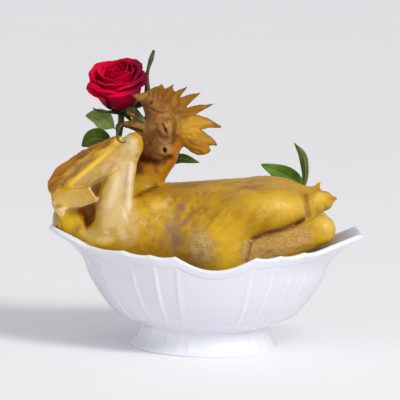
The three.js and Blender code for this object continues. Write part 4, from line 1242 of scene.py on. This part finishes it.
def make_chicken():
    points, faces = surface_of(make_flesh_distance(), SKIN_LOW, SKIN_HIGH, SKIN_CELL)
    normal = point_normals(points, faces)
    middle = points.mean(0)
    if ((points - middle) * normal).sum() < 0:
        faces = faces[:, ::-1]
        normal = -normal
    bird = to_bird(points)
    column, row = chart_of(bird)
    sunk = step(0, 6, points[:, 2] - 88)
    points = points + normal * (skin_relief(bird, normal, column, row) * (0.2 + 0.8 * sunk))[:, None]
    material = make_skin_material()
    piece = make_piece("chicken_skin", points, faces, material, ["chicken"])
    bpy.context.view_layer.objects.active = piece
    thin = piece.modifiers.new("thin", "DECIMATE")
    thin.ratio = min(1.0, SKIN_TRIANGLES / (2 * len(faces)))
    bpy.ops.object.modifier_apply(modifier="thin")
    mesh = piece.data
    kept = np.empty(len(mesh.vertices) * 3, np.float32)
    mesh.vertices.foreach_get("co", kept)
    kept = kept.reshape(-1, 3).astype(float) / MM
    normals = np.empty(len(mesh.vertices) * 3, np.float32)
    mesh.vertex_normals.foreach_get("vector", normals)
    bird = to_bird(kept)
    column, row = chart_of(bird)
    paint = skin_paint(bird, normals.reshape(-1, 3), column, row)
    add_paint(mesh, {name: np.clip(values, 0, 1) for name, values in paint.items()})
    mesh.polygons.foreach_set("use_smooth", np.ones(len(mesh.polygons), bool))


def make_bowl():
    make = Shader("porcelain", roughness=0.16, specular=0.5, Subsurface_Weight=0.06, Subsurface_Scale=0.003)
    # Painted highlights: the ribs, the foot's flutes and the rim's round top are painted lighter where they
    # stand out.
    glaze = make.mix(make.ramp(make.painted("raised"), 0.1, 0.9), (0.735, 0.745, 0.815), (0.80, 0.805, 0.85))
    # Painted light: the foot is painted lighter, to brighten it in the bowl's shadow.
    glaze = make.mix(make.painted("foot"), glaze, (0.845, 0.855, 0.915))
    # Painted shade: the inside of the bowl is painted grey.
    make.to("Base Color", make.mix(make.painted("inside"), glaze, (0.52, 0.50, 0.51)))
    make.to("Roughness", make.ramp(make.noise(60, 3), 0.3, 0.7, 0.13, 0.22))
    make.to("Normal", make.bump(make.noise(45, 2), 0.0006, 0.25))
    points, faces, raised, inside = bowl_mesh()
    paint = {"raised": raised, "foot": 1 - step(18, 34, points[:, 2]), "inside": inside}
    make_piece("bowl_porcelain", points, faces, make.material, ["bowl"], paint=paint)


# The rose and the leaves, in the bird's frame.
BLOOM_BASE = np.array([-88.0, 32.0, 247.5])
BLOOM_AXIS = unit([-0.14, -0.42, 0.9])
PETALS = [
    {"count": 4, "radius": 24.5, "height": 31, "half": 62, "roll": 4.6, "turns": 150, "turn": 85},
    {"count": 4, "radius": 23.5, "height": 38, "half": 62, "roll": 4.0, "turns": 145, "turn": 38},
    {"count": 3, "radius": 21.0, "height": 43, "half": 76, "roll": 3.4, "turns": 130, "turn": 15},
    {"count": 3, "radius": 17.0, "height": 47, "half": 78, "roll": 2.6, "turns": 110, "turn": 75},
    {"count": 3, "radius": 12.5, "height": 49, "half": 84, "roll": 1.9, "turns": 80, "turn": 20},
    {"count": 2, "radius": 8.0, "height": 50, "half": 125, "roll": 1.2, "turns": 55, "turn": 60},
    {"count": 1, "radius": 4.0, "height": 50, "half": 200, "roll": 0.6, "turns": 30, "turn": 100},
]


def bloom_place(radius, angle, height):
    """Places from their distance to the bloom's axis, their turn round it and their height along it."""
    side = unit(np.cross([0, 1, 0], BLOOM_AXIS))
    up = np.cross(BLOOM_AXIS, side)
    radius, turn, height = (np.asarray(v, float)[..., None] for v in (radius, np.radians(angle), height))
    return BLOOM_BASE + radius * (np.cos(turn) * side + np.sin(turn) * up) + height * BLOOM_AXIS


def petal(layer, index, seed):
    """One petal: it swells out from the calyx and its lip rolls over outwards."""
    rows, columns = 34, 33
    v, u = np.meshgrid(np.linspace(0, 1, rows), np.linspace(-1, 1, columns), indexing="ij")
    dice = np.random.default_rng(seed)
    middle = layer["turn"] + 360 / layer["count"] * index + dice.uniform(-6, 6)
    reach = layer["radius"] * (1 + dice.uniform(-0.04, 0.04))
    tall = layer["height"] * (1 + dice.uniform(-0.04, 0.04))
    body, lip = np.clip(v / 0.72, 0, 1), np.clip((v - 0.72) / 0.28, 0, 1)
    radius = reach * (0.10 + 0.90 * np.sin(math.pi / 2 * body ** 0.8) ** 0.8) + 1.1 * u
    bend = np.radians(layer["turns"]) * lip * (1 - 0.35 * np.abs(u) ** 2)
    roll = layer["roll"] * (1 + 0.25 * np.sin(2.2 * u + dice.uniform(0, 6)))
    radius = radius + roll * (1 - np.cos(bend))
    edge = 1 - 0.13 * np.abs(u) ** 3 + 0.03 * np.exp(-(u / 0.12) ** 2)
    height = tall * body * (1 + (edge - 1) * body) + roll * np.sin(bend)
    narrow = 0.42 + 0.58 * np.sin(math.pi / 2 * np.clip(body * 1.1, 0, 1))
    narrow = narrow * (1 - 0.16 * lip ** 2)
    fold = 0.5 * np.sin(u * 7 + seed) * body ** 2 + 0.2 * np.sin(u * 19 + 3 * v + seed) * body
    grid = bloom_place(np.maximum(radius + fold, 0.6), middle + layer["half"] * narrow * u, height)
    points, faces = sheet(grid, 0.45 + 0.3 * (1 - v))
    return points, faces, np.tile(v.ravel(), 2)


def make_rose():
    parts = []
    for n, layer in enumerate(PETALS):
        parts += [petal(layer, index, 10 * n + index) for index in range(layer["count"])]
    points, faces, tip = joined(parts)
    make = Shader("rose_petals", roughness=0.6, specular=0.05, Subsurface_Weight=0.15, Subsurface_Scale=0.002,
                  Subsurface_Radius=(1.0, 0.1, 0.1))
    red = make.mix(make.ramp(make.noise(45, 3), 0.35, 0.65), (0.80, 0.0003, 0.044), (0.54, 0.0003, 0.034))
    red = make.mix(make.ramp(make.painted("tip"), 0.975, 1.0, 0, 0.6), red, (0.16, 0.001, 0.010))
    red = make.mix(make.ramp(make.painted("tip"), 0.55, 0.0, 0, 0.7), red, (0.16, 0.001, 0.012))
    veins = make.noise(1, 2, make.stretched((700, 700, 120)))
    red = make.mix(make.ramp(veins, 0.45, 0.75, 0, 0.35), red, (0.22, 0.0005, 0.012))
    red = make.mix(make.painted("shade"), red, (0.095, 0.003, 0.020))
    make.to("Base Color", red)
    make.to("Normal", make.bump(veins, 0.0002, 0.3))
    right = step(-94, -62, points[:, 0] + 5 * noise(points, 14, 121)) * 0.85
    low = (1 - step(252, 268, points[:, 2] + 4 * noise(points, 14, 123))) * 0.7
    paint = {"tip": tip, "shade": np.maximum(right, low)}
    make_piece("rose_petals", to_row(points), faces, make.material, ["rose_bloom"], paint=paint)


def plant_material(name, dark, light):
    make = Shader(name, roughness=0.42, specular=0.4, Subsurface_Weight=0.05, Subsurface_Scale=0.001)
    make.to("Base Color", make.mix(make.ramp(make.noise(90, 3), 0.3, 0.7), dark, light))
    make.to("Normal", make.bump(make.noise(700, 3), 0.0003, 0.4))
    return make.material


# Looks of leaves: dark and light green, the veins, and the shaded half where there is one.
LEAF_LOOKS = {
    "fresh": [(0.16, 0.27, 0.035), (0.26, 0.36, 0.10), (0.40, 0.50, 0.20)],
    "deep": [(0.035, 0.07, 0.005), (0.07, 0.12, 0.010), (0.14, 0.22, 0.04)],
    "middle": [(0.05, 0.115, 0.003), (0.12, 0.22, 0.008), (0.15, 0.26, 0.02)],
    "pale": [(0.20, 0.27, 0.09), (0.34, 0.42, 0.20), (0.55, 0.60, 0.40), (0.07, 0.13, 0.02)],
}
SIDE_VEINS, VEIN_SLANT = 11.0, 2.2
LEAF_THICKNESS, LEAF_FOLD, LEAF_WAVE = 0.5, 0.25, 1.0


def leaf_material(name, dark, light, vein, shaded=None):
    make = Shader(name, roughness=0.42, specular=0.22, Subsurface_Weight=0.08, Subsurface_Scale=0.001)
    tone = make.mix(make.ramp(make.noise(60, 3), 0.3, 0.7), dark, light)
    across, along = make.painted("across"), make.painted("along")
    if shaded:
        tone = make.mix(make.ramp(across, -0.15, 0.25), tone, shaded)
    width = make.math("ABSOLUTE", across)
    slant = make.math("MULTIPLY", width, VEIN_SLANT)
    slant = make.math("SUBTRACT", make.math("MULTIPLY", along, SIDE_VEINS), slant)
    wave = make.math("ABSOLUTE", make.math("SUBTRACT", make.math("FRACT", slant), 0.5))
    side_veins = make.ramp(wave, 0.06, 0.0)
    rib = make.ramp(width, 0.10, 0.02)
    veins = make.math("MAXIMUM", make.math("MULTIPLY", side_veins, 0.45), rib)
    make.to("Base Color", make.mix(make.math("MULTIPLY", veins, 0.65), tone, vein))
    make.to("Normal", make.bump(veins, 0.0005, 0.5))
    return make.material


LEAVES = {
    "rose_leaf_upper": {
        "spine": [[-93.5, 22, 225], [-103, 23, 232], [-114, 23, 239], [-127, 22, 241]],
        "width": 19, "normal": [0, -1, 0.25], "look": "fresh",
    },
    "rose_leaf_lower": {
        "spine": [[-98, 13, 209], [-107, 13, 216], [-119, 13, 217], [-131, 12, 210]],
        "width": 21, "normal": [0, -1, 0.2], "look": "deep",
    },
    "leaf_neck": {
        "spine": [[-50, 33, 176], [-42, 33, 187], [-28, 33, 193.5], [-7.5, 33, 189.5]],
        "width": 9.5, "normal": [0, -1, 0.5], "look": "deep",
    },
    "leaf_back_low": {
        "spine": [[106, 72, 156.5], [90, 72, 166.5], [74, 73, 174.5], [58.5, 73, 182]],
        "width": 19, "normal": [0.1, -1, 0.4], "look": "middle", "stalk": 0.02,
    },
    "leaf_back_tall": {
        "spine": [[104, 64.5, 158.8], [105.5, 64, 176], [103, 64, 192], [93.2, 64, 206.5]],
        "width": 10, "normal": [-0.6, -0.8, 0.1], "look": "pale", "stalk": 0.03,
    },
}


def make_leaf(name, materials, spine, width, normal, look, stalk=0.14):
    """A blade folded along its rib, with waves at its edges. Stalk is the share before the blade starts."""
    rows, columns = 48, 19
    places, directions = spline(spine, rows)
    along, u = np.linspace(0, 1, rows)[:, None], np.linspace(1, -1, columns)[None]
    blade = np.clip((along - stalk) / (1 - stalk), 0, 1)
    half = 0.5 + (width / 2) * np.maximum(np.sin(math.pi * blade ** 0.85), 0) ** 0.9
    across = unit(np.cross(np.asarray(normal, float), directions))
    up = np.cross(directions, across)
    veins = np.cos(2 * math.pi * (SIDE_VEINS * along - VEIN_SLANT * np.abs(u))) * step(0.05, 0.3, np.abs(u))
    lift = LEAF_FOLD * half * np.abs(u) + LEAF_WAVE * u ** 2 * np.sin(9 * along + 2 * u)
    lift = lift + 0.22 * veins * (half / (width / 2 + 0.5))
    grid = places[:, None] + across[:, None] * (half * u)[..., None] + up[:, None] * lift[..., None]
    points, faces = sheet(grid, LEAF_THICKNESS)
    paint = {"across": np.tile(u, (2 * rows, 1)), "along": np.tile(np.repeat(along, columns), 2)}
    make_piece(f"{name}_blade", to_row(points), faces, materials[look], [name], paint=paint)


# Paths of the stalks, in the bird's frame.
STEM_IN_BEAK = [[-78, 10, 249], [-69, -2, 240.5], [-59, -3, 230.5]]
SHOOT = [[-90, 17, 232], [-93, 13, 214], [-97, 8, 182]]
CURL = [
    [-90, 18, 232.5], [-92.0, -2, 233], [-92.6, -18, 232.5], [-92.6, -34, 231.5], [-92.6, -42.5, 228.5],
    [-91.6, -46, 224.5], [-89, -48, 222], [-85.6, -48.8, 221.4], [-83.4, -48.6, 223],
]
UPRIGHT_SEPAL = [[-62, 14, 266], [-62, 14, 286], [-57.5, 12, 303], [-54.6, 12, 312]]
LOW_SEPAL = [[-102, 12, 246], [-112, 10, 247], [-120, 9, 251]]
TWIG = [[95, 72, 99], [98, 79.5, 118], [102, 74, 138], [102, 66, 157]]


def rose_stalk_parts():
    """The calyx, the stem in the beak, the shoot with its curl, and the four sepals."""
    calyx = BLOOM_BASE - BLOOM_AXIS
    bulb = [BLOOM_BASE + depth * BLOOM_AXIS for depth in (-9, -6, -2, 1)]
    upright = [bloom_place(4, 20, -2), bloom_place(24, 20, -1), *UPRIGHT_SEPAL]
    sepals = [[bloom_place(4, 190, -3), *LOW_SEPAL]]
    for turn, rise in ((290, 2), (110, 1)):
        sepals.append([bloom_place(4, turn, -3), bloom_place(20, turn, -4), bloom_place(30, turn, rise)])
    return [
        tube(bulb, [3.2, 5.2, 7.4, 6.0], 20, 30, normal=(0, 1, 0.3)),
        tube([calyx, *STEM_IN_BEAK], [4.2, 4.2, 3.8], 18, 40),
        tube([calyx + (-2, 0, -3), *SHOOT], [3.6, 3.2, 2.8, 2.2], 16, 50),
        tube(CURL, [2.9, 2.8, 2.7, 2.6, 2.2, 1.6, 1.3, 1.0, 0.5], 16, 90),
        tube(upright, [3.4, 4.0, 4.4, 4.4, 3.9, 3.0, 2.1, 1.7, 2.7, 1.4], 14, 60, flat=0.9),
        *[tube(run, [3.4, 3.0, 2.2, 1.5, 1.2, 0.5], 12, 40, flat=0.35) for run in sepals],
    ]


def make_greens():
    looks = {look: leaf_material("leaf_" + look, *colours) for look, colours in LEAF_LOOKS.items()}
    for name, leaf in LEAVES.items():
        make_leaf(name, looks, **leaf)
    stalk = plant_material("stem_green", (0.030, 0.042, 0.010), (0.105, 0.11, 0.028))
    points, faces = joined(rose_stalk_parts())
    make_piece("rose_stalks", to_row(points), faces, stalk, ["rose_stem"])
    points, faces = tube(TWIG, [1.7, 1.6, 1.4, 1.2], 14, 50)
    make_piece("back_twig", to_row(points), faces, stalk, ["twig_back"])


make_camera()
make_surroundings()
bpy.context.scene.view_settings.view_transform = "Standard"
make_bowl()
make_chicken()
make_rose()
make_greens()
